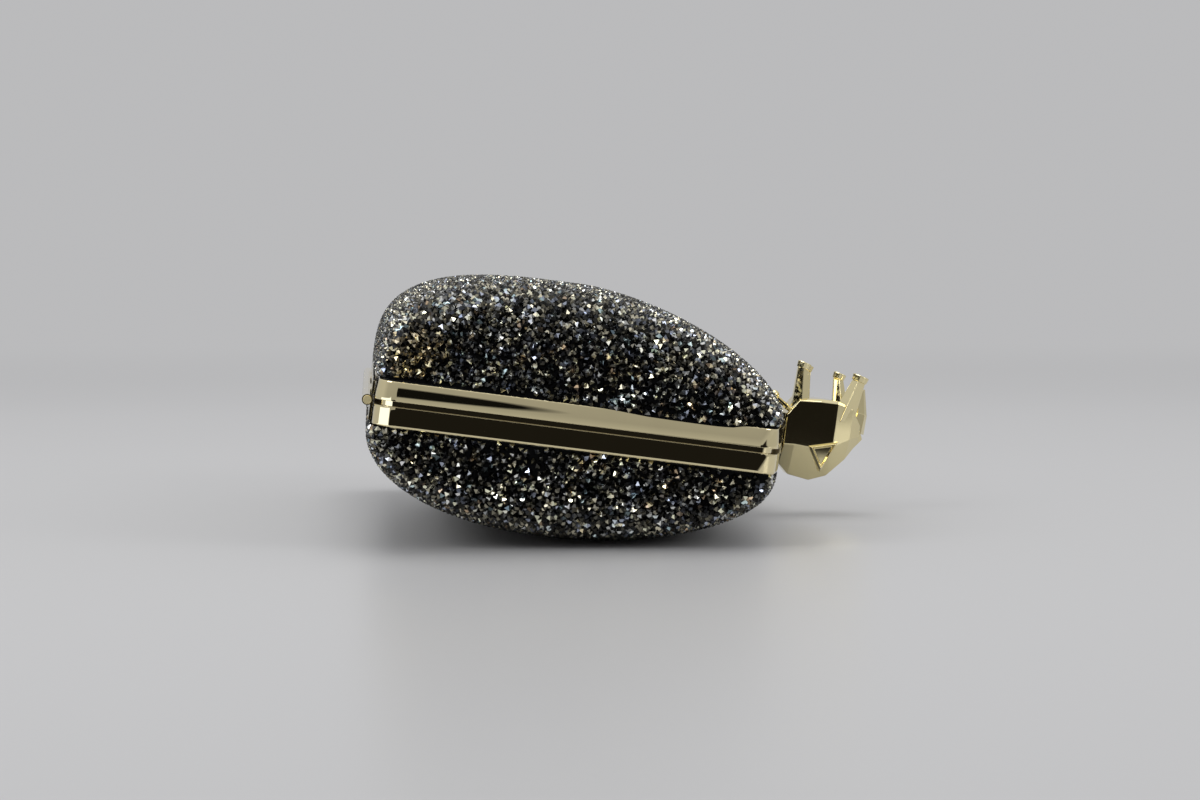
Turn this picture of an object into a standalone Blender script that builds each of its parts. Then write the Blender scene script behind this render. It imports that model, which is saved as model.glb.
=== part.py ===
"""Crystal box clutch, lying on its domed back, with a faceted elephant as its clasp.

Two domed halves are hinged along one long side. Each half is a metal frame that carries a
moulded dome, a skin of crystal fabric over it and a lining tray inside it.
Metres, +Z up. The clutch is drawn level, with X from hinge to clasp and Y along its length,
and the whole of it is then rolled about Y into the pose in which it rests.
"""

import math

import bmesh
import bpy
from mathutils import Matrix, Vector

# Driving sizes of the whole clutch
LENGTH = 0.180
END_WIDTH = 0.1012
CLASP_SIDE_BOW = 0.011
CORNER_RADIUS = 0.0055
LEAST_CORNER_RADIUS = 0.0005
RESTING_ROLL = math.radians(7.5)
REST_FLAT_DEPTH = 0.0006

# Clearance between pieces that seat on each other, and round the loose linings
FIT = 0.0003
LINING_PLAY = 0.0007

# Walls, from the outside in
FRAME_HEIGHT = 0.0052
PARTING_GAP = 0.0012
FRAME_WALL = 0.0014
FRAME_FLANGE_WIDTH = 0.0018
FRAME_FLANGE_THICKNESS = 0.0010
COVER_THICKNESS = 0.0014
COVER_TURN_IN = 0.0004
SHELL_THICKNESS = 0.0015
LINING_THICKNESS = 0.0008
BACK_COVER_OVERHANG = 0.0013

# Domes: where their ridge runs, the rise at the ends, the extra rise at mid-length, and how
# full the curve is down to the hinge side, down to the clasp side and over the ends
FRONT_RIDGE_X = 0.003
FRONT_END_RISE = 0.0254
FRONT_CROWN = 0.0042
FRONT_HINGE_FULLNESS = 2.80
FRONT_CLASP_FULLNESS = 1.65
BACK_RIDGE_X = -0.003
BACK_END_RISE = 0.0236
BACK_CROWN = 0.0012
BACK_HINGE_FULLNESS = 2.15
BACK_CLASP_FULLNESS = 1.95
END_WALL_FULLNESS = 11.0
END_BEND_FULLNESS = 3.0
END_SWEEP = math.radians(78)

# Counts that set how finely the curves are drawn: for a dome, across it, round each end
# and along half of its middle
COVER_STEPS = (16, 6, 3)
INNER_STEPS = (12, 5, 3)
BOW_STEPS = 10
CORNER_STEPS = 4

# Places that several pieces share
HALF_LENGTH = LENGTH / 2
HALF_WIDTH = END_WIDTH / 2
CLASP_FACE_X = HALF_WIDTH + CLASP_SIDE_BOW
CLOSING_Z = PARTING_GAP / 2
FRAME_TOP_Z = CLOSING_Z + FRAME_HEIGHT
BOW_RADIUS = (HALF_LENGTH ** 2 + CLASP_SIDE_BOW ** 2) / (2 * CLASP_SIDE_BOW)
BOW_CENTRE_X = CLASP_FACE_X - BOW_RADIUS
SHELL_INSET = FRAME_WALL + FIT
FLANGE_INSET = FRAME_WALL + FRAME_FLANGE_WIDTH
LINING_INSET = FLANGE_INSET + LINING_PLAY

# One overrun serves every cut
CUT_OVERRUN = 0.002


def clear_scene():
    """Start from an empty scene."""
    for thing in list(bpy.data.objects):
        bpy.data.objects.remove(thing, do_unlink=True)


def new_collection(name):
    collection = bpy.data.collections.new(name)
    bpy.context.scene.collection.children.link(collection)
    return collection


clear_scene()
PARTS = new_collection("crystal_clutch")
CUTTERS = new_collection("cutters")


def new_material(name, colour, roughness, metallic):
    material = bpy.data.materials.new(name)
    material.use_nodes = True
    shader = material.node_tree.nodes["Principled BSDF"]
    shader.inputs["Base Color"].default_value = (*colour, 1.0)
    shader.inputs["Roughness"].default_value = roughness
    shader.inputs["Metallic"].default_value = metallic
    return material


GOLD = (0.83, 0.70, 0.45)
STEEL = (0.62, 0.62, 0.63)


def add_object(name, mesh, colour, roughness, metallic):
    """A sub-part with its own material, carried by the clutch's root."""
    thing = bpy.data.objects.new(name, mesh)
    PARTS.objects.link(thing)
    thing.parent = ROOT
    mesh.materials.append(new_material(name + "_finish", colour, roughness, metallic))
    return thing


def add_cutter(name, mesh, carried=True):
    """A shape that only cuts or joins others."""
    thing = bpy.data.objects.new(name, mesh)
    CUTTERS.objects.link(thing)
    thing.hide_render = True
    thing.display_type = "WIRE"
    if carried:
        thing.parent = ROOT
    return thing


def combine(thing, other, operation):
    """Join or cut one shape with another."""
    modifier = thing.modifiers.new(operation.lower() + "_" + other.name, "BOOLEAN")
    modifier.operation = operation
    modifier.solver = "EXACT"
    modifier.object = other
    return modifier


def mesh_from(shape, name):
    bmesh.ops.recalc_face_normals(shape, faces=shape.faces)
    mesh = bpy.data.meshes.new(name)
    shape.to_mesh(mesh)
    shape.free()
    return mesh


def smooth(thing, angle=math.radians(35)):
    thing.data.shade_smooth()
    thing.data.set_sharp_from_angle(angle=angle)


def loft(loops, name, ring=False):
    """Skin over a row of closed loops: capped at both ends, or closed on itself as a ring."""
    shape = bmesh.new()
    rows = [[shape.verts.new(point) for point in loop] for loop in loops]
    count = len(rows[0])
    pairs = list(zip(rows, rows[1:]))
    if ring:
        pairs.append((rows[-1], rows[0]))
    for low, high in pairs:
        for i in range(count):
            j = (i + 1) % count
            shape.faces.new((low[i], low[j], high[j], high[i]))
    if not ring:
        shape.faces.new(list(reversed(rows[0])))
        shape.faces.new(rows[-1])
    return mesh_from(shape, name)


def prism(outline, low_y, high_y, name):
    """An outline drawn in X and Z, run along Y between two stations."""
    near = [(x, low_y, z) for x, z in outline]
    far = [(x, high_y, z) for x, z in outline]
    return loft([near, far], name)


def rod(centre, radius, low_y, high_y, name, sides=16):
    """A round bar along Y."""
    x, z = centre
    outline = arc_points(x, z, radius, 0, math.tau * (sides - 1) / sides, sides - 1)
    return prism(outline, low_y, high_y, name)


def arc_points(x, z, radius, start, end, steps):
    """Points along an arc, both ends included."""
    angles = [start + (end - start) * k / steps for k in range(steps + 1)]
    return [(x + radius * math.cos(a), z + radius * math.sin(a)) for a in angles]


def rounded(corners, steps=3):
    """An outline from corners (x, z, radius), each turned with its own radius."""
    outline = []
    for i, (x, z, radius) in enumerate(corners):
        before = Vector(corners[i - 1][:2])
        after = Vector(corners[(i + 1) % len(corners)][:2])
        here = Vector((x, z))
        to_before = (before - here).normalized()
        to_after = (after - here).normalized()
        half = to_before.angle(to_after) / 2
        if radius == 0:
            outline.append((x, z))
            continue
        centre = here + (to_before + to_after).normalized() * radius / math.sin(half)
        first = here + to_before * radius / math.tan(half) - centre
        last = here + to_after * radius / math.tan(half) - centre
        start = math.atan2(first.y, first.x)
        turn = math.atan2(last.y, last.x) - start
        turn = (turn + math.pi) % math.tau - math.pi
        outline += arc_points(centre.x, centre.y, radius, start, start + turn, steps)
    return outline


# Plan of the clutch: straight hinge side and ends, bowed clasp side, round corners
def corner(inset):
    """Radius and clasp-side centre of the plan's corners, set in by an inset."""
    radius = max(CORNER_RADIUS - inset, LEAST_CORNER_RADIUS)
    y = HALF_LENGTH - inset - radius
    x = BOW_CENTRE_X + math.sqrt((BOW_RADIUS - inset - radius) ** 2 - y ** 2)
    return radius, x, y


def clasp_side_x(y, inset):
    return BOW_CENTRE_X + math.sqrt((BOW_RADIUS - inset) ** 2 - y ** 2)


def plan_outline(inset):
    """The plan, anticlockwise, set in by an inset."""
    radius, clasp_x, y = corner(inset)
    hinge_x = inset + radius - HALF_WIDTH
    bow_angle = math.atan2(y, clasp_x - BOW_CENTRE_X)
    quarter = math.pi / 2
    outline = arc_points(BOW_CENTRE_X, 0, BOW_RADIUS - inset, -bow_angle, bow_angle, BOW_STEPS)
    outline += arc_points(clasp_x, y, radius, bow_angle, quarter, CORNER_STEPS)[1:]
    outline += arc_points(hinge_x, y, radius, quarter, 2 * quarter, CORNER_STEPS)
    outline += arc_points(hinge_x, -y, radius, 2 * quarter, 3 * quarter, CORNER_STEPS)
    outline += arc_points(clasp_x, -y, radius, 3 * quarter, 4 * quarter - bow_angle,
                          CORNER_STEPS)[:-1]
    return outline


# Domes
def along_stations(end_steps, middle_steps):
    """Stations from -1 to 1 along the length, closer together where the ends bend."""
    ends = [math.cos(END_SWEEP * k / end_steps) ** (2 / END_WALL_FULLNESS)
            for k in range(end_steps + 1)]
    middle = [ends[-1] * k / middle_steps for k in range(middle_steps)]
    half = sorted(ends + middle)
    return [-v for v in reversed(half[1:])] + half


def dome_point(turn, v, inset, ridge_x, end_rise, crown, hinge_fullness, clasp_fullness,
               overhang):
    """Place on a dome: turn runs from the hinge side (0) over to the clasp side (pi)."""
    radius, corner_x, corner_y = corner(inset)
    bow_angle = math.atan2(corner_y, corner_x - BOW_CENTRE_X)
    tangent_y = (BOW_RADIUS - inset) * math.sin(bow_angle)
    cosine = math.cos(turn)
    fullness = hinge_fullness if cosine > 0 else clasp_fullness
    out = abs(cosine) ** (2 / fullness)
    hinge_x = inset - HALF_WIDTH - overhang
    if cosine > 0:
        end_x = ridge_x + (hinge_x - ridge_x) * out
        x = end_x
    else:
        end_x = ridge_x + (clasp_side_x(tangent_y, inset) - ridge_x) * out
        x = ridge_x + (clasp_side_x(v * tangent_y, inset) - ridge_x) * out
    past = max(hinge_x + radius - end_x, end_x - corner_x, 0)
    reach = HALF_LENGTH - inset - radius + math.sqrt(max(radius ** 2 - past ** 2, 0))
    across = abs(math.sin(turn)) ** (2 / fullness)
    along = max(1 - abs(v) ** END_WALL_FULLNESS, 0) ** (1 / END_BEND_FULLNESS)
    rise = end_rise + crown * (1 - v ** 2) - inset
    return Vector((x, v * reach, rise * across * along))


def dome_points(steps, inset, base_z, side, form, overhang=0):
    """The dome's grid, one row for each station along it; side is 1 upwards, -1 downwards."""
    across, ends, middle = steps
    turns = [math.pi * k / across for k in range(across + 1)]
    grid = []
    for v in along_stations(ends, middle):
        row = [dome_point(t, v, inset, *form, overhang) for t in turns]
        grid.append([Vector((p.x, p.y, side * (base_z + p.z))) for p in row])
    return grid


def dome_shell(name, grid, skirt, side, thickness, colour, roughness):
    """An open dome with a straight skirt below it, thickened inwards."""
    shape = bmesh.new()
    rows = [[shape.verts.new(point) for point in row] for row in grid]
    for low, high in zip(rows, rows[1:]):
        for i in range(len(low) - 1):
            shape.faces.new((low[i], low[i + 1], high[i + 1], high[i]))
    bmesh.ops.recalc_face_normals(shape, faces=shape.faces)
    centre_face = shape.faces[len(shape.faces) // 2]
    if centre_face.normal.z * side < 0:
        bmesh.ops.reverse_faces(shape, faces=shape.faces)
    rim = [edge for edge in shape.edges if edge.is_boundary]
    skirt_edges = bmesh.ops.extrude_edge_only(shape, edges=rim)["geom"]
    skirt_verts = [item for item in skirt_edges if isinstance(item, bmesh.types.BMVert)]
    bmesh.ops.translate(shape, verts=skirt_verts, vec=(0, 0, -side * skirt))
    mesh = bpy.data.meshes.new(name)
    shape.to_mesh(mesh)
    shape.free()
    thing = add_object(name, mesh, colour, roughness, 0.0)
    wall = thing.modifiers.new("wall", "SOLIDIFY")
    wall.thickness = thickness
    wall.offset = -1
    wall.use_even_offset = True
    smooth(thing)
    return thing


FRONT_DOME = (FRONT_RIDGE_X, FRONT_END_RISE, FRONT_CROWN, FRONT_HINGE_FULLNESS,
              FRONT_CLASP_FULLNESS)
BACK_DOME = (BACK_RIDGE_X, BACK_END_RISE, BACK_CROWN, BACK_HINGE_FULLNESS,
             BACK_CLASP_FULLNESS)
COVER_BASE_Z = FRAME_TOP_Z + FIT + COVER_TURN_IN


def rest_place():
    """Lowest point of the rolled back dome, and the lift that sets it on the ground."""
    turn = Matrix.Rotation(RESTING_ROLL, 3, "Y")
    grid = dome_points(COVER_STEPS, 0, COVER_BASE_Z, -1, BACK_DOME, BACK_COVER_OVERHANG)
    lowest = min((turn @ point for row in grid for point in row), key=lambda p: p.z)
    return Vector((-lowest.x, 0, -lowest.z - REST_FLAT_DEPTH))


ROOT = bpy.data.objects.new("clutch_rolled_to_rest", None)
PARTS.objects.link(ROOT)
ROOT.location = rest_place()
ROOT.rotation_euler = (0, RESTING_ROLL, 0)

# Frames: a rounded outer band, a flange that carries the dome and, on the back one,
# a tongue that the front one closes over
BAND_EDGE_RADIUS = 0.0009
INNER_EDGE_RADIUS = 0.0002
TONGUE_HEIGHT = 0.0027
TONGUE_THICKNESS = 0.0011
TONGUE_TOP_Z = TONGUE_HEIGHT - CLOSING_Z
FRONT_FLANGE_LOW_Z = TONGUE_TOP_Z + FIT
FRONT_FLANGE_HIGH_Z = FRONT_FLANGE_LOW_Z + FRAME_FLANGE_THICKNESS
BACK_FLANGE_LOW_Z = CLOSING_Z + FRAME_FLANGE_THICKNESS


def frame(name, profile, colour):
    """A frame: a profile of insets and heights carried round the plan."""
    loops = [[(x, y, z) for x, y in plan_outline(inset)] for inset, z in profile]
    thing = add_object(name, loft(loops, name, ring=True), colour, 0.14, 1.0)
    smooth(thing)
    return thing


front_profile = rounded([
    (0, CLOSING_Z, BAND_EDGE_RADIUS),
    (0, FRAME_TOP_Z, BAND_EDGE_RADIUS),
    (FRAME_WALL, FRAME_TOP_Z, 0),
    (FRAME_WALL, FRONT_FLANGE_HIGH_Z, 0),
    (FLANGE_INSET, FRONT_FLANGE_HIGH_Z, 0),
    (FLANGE_INSET, FRONT_FLANGE_LOW_Z, 0),
    (FRAME_WALL, FRONT_FLANGE_LOW_Z, 0),
    (FRAME_WALL, CLOSING_Z, INNER_EDGE_RADIUS),
])
back_profile = rounded([
    (0, -CLOSING_Z, BAND_EDGE_RADIUS),
    (SHELL_INSET, -CLOSING_Z, 0),
    (SHELL_INSET, TONGUE_TOP_Z, INNER_EDGE_RADIUS),
    (SHELL_INSET + TONGUE_THICKNESS, TONGUE_TOP_Z, INNER_EDGE_RADIUS),
    (SHELL_INSET + TONGUE_THICKNESS, -CLOSING_Z, 0),
    (FLANGE_INSET, -CLOSING_Z, 0),
    (FLANGE_INSET, -BACK_FLANGE_LOW_Z, 0),
    (FRAME_WALL, -BACK_FLANGE_LOW_Z, 0),
    (FRAME_WALL, -FRAME_TOP_Z, 0),
    (0, -FRAME_TOP_Z, BAND_EDGE_RADIUS),
])
front_frame = frame("front_frame", front_profile, GOLD)
back_frame = frame("back_frame", back_profile, GOLD)

# Moulded domes: each stands on its frame's flange, inside the frame's band
SHELL_COLOUR = (0.03, 0.03, 0.032)
front_shell = dome_shell(
    "front_shell", dome_points(INNER_STEPS, SHELL_INSET, FRAME_TOP_Z, 1, FRONT_DOME),
    FRAME_TOP_Z - FRONT_FLANGE_HIGH_Z - FIT, 1, SHELL_THICKNESS, SHELL_COLOUR, 0.5)
back_shell = dome_shell(
    "back_shell", dome_points(INNER_STEPS, SHELL_INSET, FRAME_TOP_Z, -1, BACK_DOME),
    FRAME_TOP_Z - BACK_FLANGE_LOW_Z - FIT, -1, SHELL_THICKNESS, SHELL_COLOUR, 0.5)

# Crystal covers: the stone-set fabric over each dome, from the frame's edge upwards
CRYSTAL_COLOUR = (0.06, 0.058, 0.055)
front_cover = dome_shell(
    "front_crystal_cover", dome_points(COVER_STEPS, 0, COVER_BASE_Z, 1, FRONT_DOME),
    COVER_TURN_IN, 1, COVER_THICKNESS, CRYSTAL_COLOUR, 0.22)
back_cover = dome_shell(
    "back_crystal_cover",
    dome_points(COVER_STEPS, 0, COVER_BASE_Z, -1, BACK_DOME, BACK_COVER_OVERHANG),
    COVER_TURN_IN, -1, COVER_THICKNESS, CRYSTAL_COLOUR, 0.22)


def ground_block():
    """What lies under the ground plane: it leaves a small flat where the dome rests."""
    shape = bmesh.new()
    bmesh.ops.create_cube(shape, size=1)
    bmesh.ops.scale(shape, verts=shape.verts, vec=(END_WIDTH, LENGTH, FRAME_HEIGHT))
    bmesh.ops.translate(shape, verts=shape.verts, vec=(0, 0, -FRAME_HEIGHT / 2))
    return mesh_from(shape, "ground_block")


combine(back_cover, add_cutter("ground_block", ground_block(), carried=False), "DIFFERENCE")

# Lining trays: fabric over board, loose inside each dome and level with the flanges
LINING_COLOUR = (0.035, 0.033, 0.032)
front_lining = dome_shell(
    "front_lining", dome_points(INNER_STEPS, LINING_INSET, FRAME_TOP_Z, 1, FRONT_DOME),
    FRAME_TOP_Z - FRONT_FLANGE_LOW_Z, 1, LINING_THICKNESS, LINING_COLOUR, 0.85)
back_lining = dome_shell(
    "back_lining", dome_points(INNER_STEPS, LINING_INSET, FRAME_TOP_Z, -1, BACK_DOME),
    FRAME_TOP_Z - CLOSING_Z, -1, LINING_THICKNESS, LINING_COLOUR, 0.85)

# Hinge: a leaf on each frame's long side, their knuckles turning on one pin
PIN_RADIUS = 0.0006
KNUCKLE_RADIUS = 0.0014
LEAF_THICKNESS = 0.0006
LEAF_END_MARGIN = 0.0035
PIN_HEAD_RADIUS = 0.0011
PIN_HEAD_THICKNESS = 0.0008
KNUCKLE_COUNT = 5
HINGE_X = -HALF_WIDTH - FIT - KNUCKLE_RADIUS
HINGE_END_Y = HALF_LENGTH - CORNER_RADIUS - LEAF_END_MARGIN
LEAF_OUTER_X = -HALF_WIDTH - FIT - LEAF_THICKNESS
LEAF_INNER_X = -HALF_WIDTH - FIT
LEAF_LOW_Z = KNUCKLE_RADIUS + FIT
LEAF_HIGH_Z = FRAME_TOP_Z - BAND_EDGE_RADIUS
LEAF_ROOT_Z = KNUCKLE_RADIUS / 3


def plate(low_x, high_x, low_z, high_z, low_y, high_y, name):
    """A rectangular plate between two stations along Y."""
    outline = [(low_x, low_z), (high_x, low_z), (high_x, high_z), (low_x, high_z)]
    return prism(outline, low_y, high_y, name)


def hinge_leaf(name, side, first):
    """A leaf above (1) or below (-1) the pin, with every second knuckle from first on."""
    strip = plate(LEAF_OUTER_X, LEAF_INNER_X, *sorted((side * LEAF_LOW_Z, side * LEAF_HIGH_Z)),
                  -HINGE_END_Y, HINGE_END_Y, name)
    leaf = add_object(name, strip, GOLD, 0.2, 1.0)
    pitch = 2 * HINGE_END_Y / KNUCKLE_COUNT
    for k in range(first, KNUCKLE_COUNT, 2):
        low_y = -HINGE_END_Y + k * pitch + (FIT / 2 if k else 0)
        high_y = -HINGE_END_Y + (k + 1) * pitch - (FIT / 2 if k < KNUCKLE_COUNT - 1 else 0)
        label = f"{name}_knuckle_{k}"
        tab = plate(LEAF_OUTER_X, LEAF_INNER_X,
                    *sorted((side * LEAF_ROOT_Z, side * (LEAF_LOW_Z + LEAF_THICKNESS))),
                    low_y, high_y, label + "_root")
        tube = rod((HINGE_X, 0), KNUCKLE_RADIUS, low_y, high_y, label)
        combine(leaf, add_cutter(label, tube), "UNION")
        combine(leaf, add_cutter(label + "_root", tab), "UNION")
    bore = rod((HINGE_X, 0), PIN_RADIUS + FIT, -HALF_LENGTH, HALF_LENGTH, name + "_bore")
    combine(leaf, add_cutter(name + "_bore", bore), "DIFFERENCE")
    return leaf


front_leaf = hinge_leaf("front_hinge_leaf", 1, 1)
back_leaf = hinge_leaf("back_hinge_leaf", -1, 0)


def hinge_pin():
    """The pin, with a peened head past each end of the barrel."""
    barrel_y = HINGE_END_Y + FIT
    head_y = barrel_y + PIN_HEAD_THICKNESS
    pin = add_object("hinge_pin", rod((HINGE_X, 0), PIN_RADIUS, -head_y, head_y, "hinge_pin",
                                      sides=12), GOLD, 0.2, 1.0)
    for end, label in ((-1, "near"), (1, "far")):
        low_y, high_y = sorted((end * barrel_y, end * (head_y + PIN_HEAD_THICKNESS / 4)))
        head = rod((HINGE_X, 0), PIN_HEAD_RADIUS, low_y, high_y, "pin_head_" + label, sides=12)
        combine(pin, add_cutter("pin_head_" + label, head), "UNION")
    smooth(pin)
    return pin


hinge_pin_part = hinge_pin()

# Clasp: a sprung lever between two ears on the front frame; its hook holds a keeper's lip
# on the back frame, and pressing the elephant's rump end in swings the hook out
PIVOT_Z = 0.0040
CLASP_PIN_RADIUS = 0.0007
BARREL_RADIUS = 0.0017
BARREL_HALF_LENGTH = 0.0066
EAR_RADIUS = 0.0018
EAR_THICKNESS = 0.0012
BRACKET_THICKNESS = 0.0008
BRACKET_LOW_Z = 0.0014
BRACKET_EDGE = 0.0005
RIVET_MARGIN = 0.0032
LEVER_THICKNESS = 0.0010
TAB_RISE = 0.0032
HOOK_DROP = 0.0086
HOOK_THICKNESS = 0.0010
HOOK_BITE = 0.0008
LIP_REACH = 0.0020
LIP_THICKNESS = 0.0010
LIP_HALF_WIDTH = 0.0050
KEEPER_THICKNESS = 0.0006
SPRING_WIRE_RADIUS = 0.0002
SPRING_TURNS = 3.5
SPRING_PITCH = 0.00095
SPRING_LEG = 0.0026
SPRING_STEPS_PER_TURN = 10

BORE_RADIUS = CLASP_PIN_RADIUS + FIT
SEAT_X = CLASP_FACE_X + FIT
BRACKET_OUTER_X = SEAT_X + BRACKET_THICKNESS
BRACKET_HIGH_Z = FRAME_TOP_Z - BRACKET_EDGE
PIVOT_X = BRACKET_OUTER_X + FIT + BARREL_RADIUS
EAR_INNER_Y = BARREL_HALF_LENGTH + FIT
EAR_OUTER_Y = EAR_INNER_Y + EAR_THICKNESS
BRACKET_HALF_WIDTH = EAR_OUTER_Y + RIVET_MARGIN
LEVER_OUTER_X = PIVOT_X + BARREL_RADIUS
LEVER_INNER_X = LEVER_OUTER_X - LEVER_THICKNESS
TAB_HIGH_Z = PIVOT_Z + TAB_RISE
HOOK_LOW_Z = PIVOT_Z - HOOK_DROP
HOOK_HIGH_Z = HOOK_LOW_Z + HOOK_THICKNESS
LIP_LOW_Z = HOOK_HIGH_Z + FIT
LIP_HIGH_Z = LIP_LOW_Z + LIP_THICKNESS
LIP_OUTER_X = CLASP_FACE_X + LIP_REACH
HOOK_TIP_X = LIP_OUTER_X - HOOK_BITE
SPRING_RADIUS = BORE_RADIUS + SPRING_WIRE_RADIUS
SPRING_HALF_WIDTH = SPRING_PITCH * SPRING_TURNS / 2
SLOT_HALF_WIDTH = SPRING_HALF_WIDTH + SPRING_WIRE_RADIUS + FIT
SLOT_REACH = SPRING_RADIUS + SPRING_WIRE_RADIUS + FIT


def clasp_bracket():
    """The base plate on the front frame, with an ear at each end for the pin."""
    base = plate(SEAT_X, BRACKET_OUTER_X, BRACKET_LOW_Z, BRACKET_HIGH_Z,
                 -BRACKET_HALF_WIDTH, BRACKET_HALF_WIDTH, "clasp_bracket")
    bracket = add_object("clasp_bracket", base, GOLD, 0.18, 1.0)
    nose = arc_points(PIVOT_X, PIVOT_Z, EAR_RADIUS, -math.pi / 2, math.pi / 2, 8)
    root_x = SEAT_X + BRACKET_THICKNESS / 3
    outline = [(root_x, PIVOT_Z - EAR_RADIUS)] + nose + [(root_x, PIVOT_Z + EAR_RADIUS)]
    for end, label in ((-1, "near"), (1, "far")):
        ear = prism(outline, *sorted((end * EAR_INNER_Y, end * EAR_OUTER_Y)), "ear_" + label)
        combine(bracket, add_cutter("ear_" + label, ear), "UNION")
    bore = rod((PIVOT_X, PIVOT_Z), BORE_RADIUS, -EAR_OUTER_Y - CUT_OVERRUN,
               EAR_OUTER_Y + CUT_OVERRUN, "bracket_bore")
    combine(bracket, add_cutter("bracket_bore", bore), "DIFFERENCE")
    return bracket


def clasp_lever():
    """The lever: a barrel on the pin, a tab above it, and a plate down to the hook below."""
    barrel = arc_points(PIVOT_X, PIVOT_Z, BARREL_RADIUS, math.pi / 2, 3 * math.pi / 2, 10)
    chamfer = HOOK_THICKNESS / 2
    outline = [
        (LEVER_OUTER_X, TAB_HIGH_Z),
        (LEVER_INNER_X, TAB_HIGH_Z),
        (LEVER_INNER_X, PIVOT_Z + BARREL_RADIUS),
    ] + barrel + [
        (LEVER_INNER_X, PIVOT_Z - BARREL_RADIUS),
        (LEVER_INNER_X, HOOK_HIGH_Z),
        (HOOK_TIP_X, HOOK_HIGH_Z),
        (HOOK_TIP_X, HOOK_HIGH_Z - chamfer),
        (HOOK_TIP_X + chamfer, HOOK_LOW_Z),
        (LEVER_OUTER_X, HOOK_LOW_Z),
    ]
    mesh = prism(outline, -BARREL_HALF_LENGTH, BARREL_HALF_LENGTH, "clasp_lever")
    lever = add_object("clasp_lever", mesh, GOLD, 0.18, 1.0)
    bore = rod((PIVOT_X, PIVOT_Z), BORE_RADIUS, -BARREL_HALF_LENGTH - CUT_OVERRUN,
               BARREL_HALF_LENGTH + CUT_OVERRUN, "lever_bore")
    combine(lever, add_cutter("lever_bore", bore), "DIFFERENCE")
    slot = plate(PIVOT_X - BARREL_RADIUS - CUT_OVERRUN, LEVER_OUTER_X + CUT_OVERRUN,
                 PIVOT_Z - SLOT_REACH, PIVOT_Z + SLOT_REACH,
                 -SLOT_HALF_WIDTH, SLOT_HALF_WIDTH, "spring_slot")
    combine(lever, add_cutter("spring_slot", slot), "DIFFERENCE")
    return lever


def clasp_keeper():
    """The keeper on the back frame: a plate with a lip that the hook catches."""
    outer_x = SEAT_X + KEEPER_THICKNESS
    low_z = BRACKET_EDGE - FRAME_TOP_Z
    base = plate(SEAT_X, outer_x, low_z, LIP_HIGH_Z, -BRACKET_HALF_WIDTH, BRACKET_HALF_WIDTH,
                 "clasp_keeper")
    keeper = add_object("clasp_keeper", base, GOLD, 0.18, 1.0)
    root_x = SEAT_X + KEEPER_THICKNESS / 3
    chamfer = LIP_THICKNESS / 3
    outline = [(root_x, LIP_LOW_Z), (LIP_OUTER_X, LIP_LOW_Z), (LIP_OUTER_X, LIP_HIGH_Z - chamfer),
               (LIP_OUTER_X - chamfer, LIP_HIGH_Z), (root_x, LIP_HIGH_Z)]
    lip = prism(outline, -LIP_HALF_WIDTH, LIP_HALF_WIDTH, "keeper_lip")
    combine(keeper, add_cutter("keeper_lip", lip), "UNION")
    return keeper


bracket_part = clasp_bracket()
lever_part = clasp_lever()
keeper_part = clasp_keeper()
clasp_pin = add_object(
    "clasp_pin", rod((PIVOT_X, PIVOT_Z), CLASP_PIN_RADIUS, -EAR_OUTER_Y, EAR_OUTER_Y,
                     "clasp_pin", sides=12), STEEL, 0.25, 1.0)
smooth(clasp_pin)


def clasp_spring():
    """A torsion spring round the pin: one leg bears on the bracket, one on the lever's tab."""
    steps = round(SPRING_STEPS_PER_TURN * SPRING_TURNS)
    points = [(PIVOT_X - SPRING_RADIUS, -SPRING_HALF_WIDTH, BRACKET_HIGH_Z)]
    for k in range(steps + 1):
        angle = math.pi + math.tau * k / SPRING_STEPS_PER_TURN
        y = -SPRING_HALF_WIDTH + 2 * SPRING_HALF_WIDTH * k / steps
        points.append((PIVOT_X + SPRING_RADIUS * math.cos(angle), y,
                       PIVOT_Z + SPRING_RADIUS * math.sin(angle)))
    leg_x = LEVER_INNER_X - FIT - SPRING_WIRE_RADIUS
    points.append((leg_x, SPRING_HALF_WIDTH, PIVOT_Z + SLOT_REACH - FIT))
    points.append((leg_x, SPRING_HALF_WIDTH, PIVOT_Z + SPRING_LEG))
    places = [Vector(point) for point in points]
    least = min((a - b).length for i, a in enumerate(places)
                for b in places[i + SPRING_STEPS_PER_TURN // 2:])
    print("clasp_spring least gap to itself:", least - 2 * SPRING_WIRE_RADIUS)
    wire = bpy.data.curves.new("clasp_spring", "CURVE")
    wire.dimensions = "3D"
    wire.bevel_depth = SPRING_WIRE_RADIUS
    wire.bevel_resolution = 1
    wire.use_fill_caps = True
    line = wire.splines.new("POLY")
    line.points.add(len(points) - 1)
    for knot, (x, y, z) in zip(line.points, points):
        knot.co = (x, y, z, 1)
    return add_object("clasp_spring", wire, STEEL, 0.3, 1.0)


spring_part = clasp_spring()

# Rivets that hold the bracket and the keeper, each through its plate into the frame's band
RIVET_RADIUS = 0.0006
RIVET_HEAD_RADIUS = 0.0011
RIVET_HEAD_THICKNESS = 0.0005
RIVET_DEPTH = 0.0009


def peg(name, centre, radius, low_x, high_x, sides=12):
    """A round bar along X."""
    shape = bmesh.new()
    turn = Matrix.Rotation(math.pi / 2, 4, "Y")
    place = Matrix.Translation((low_x + (high_x - low_x) / 2, *centre))
    bmesh.ops.create_cone(shape, cap_ends=True, segments=sides, radius1=radius, radius2=radius,
                          depth=high_x - low_x, matrix=place @ turn)
    return mesh_from(shape, name)


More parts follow.
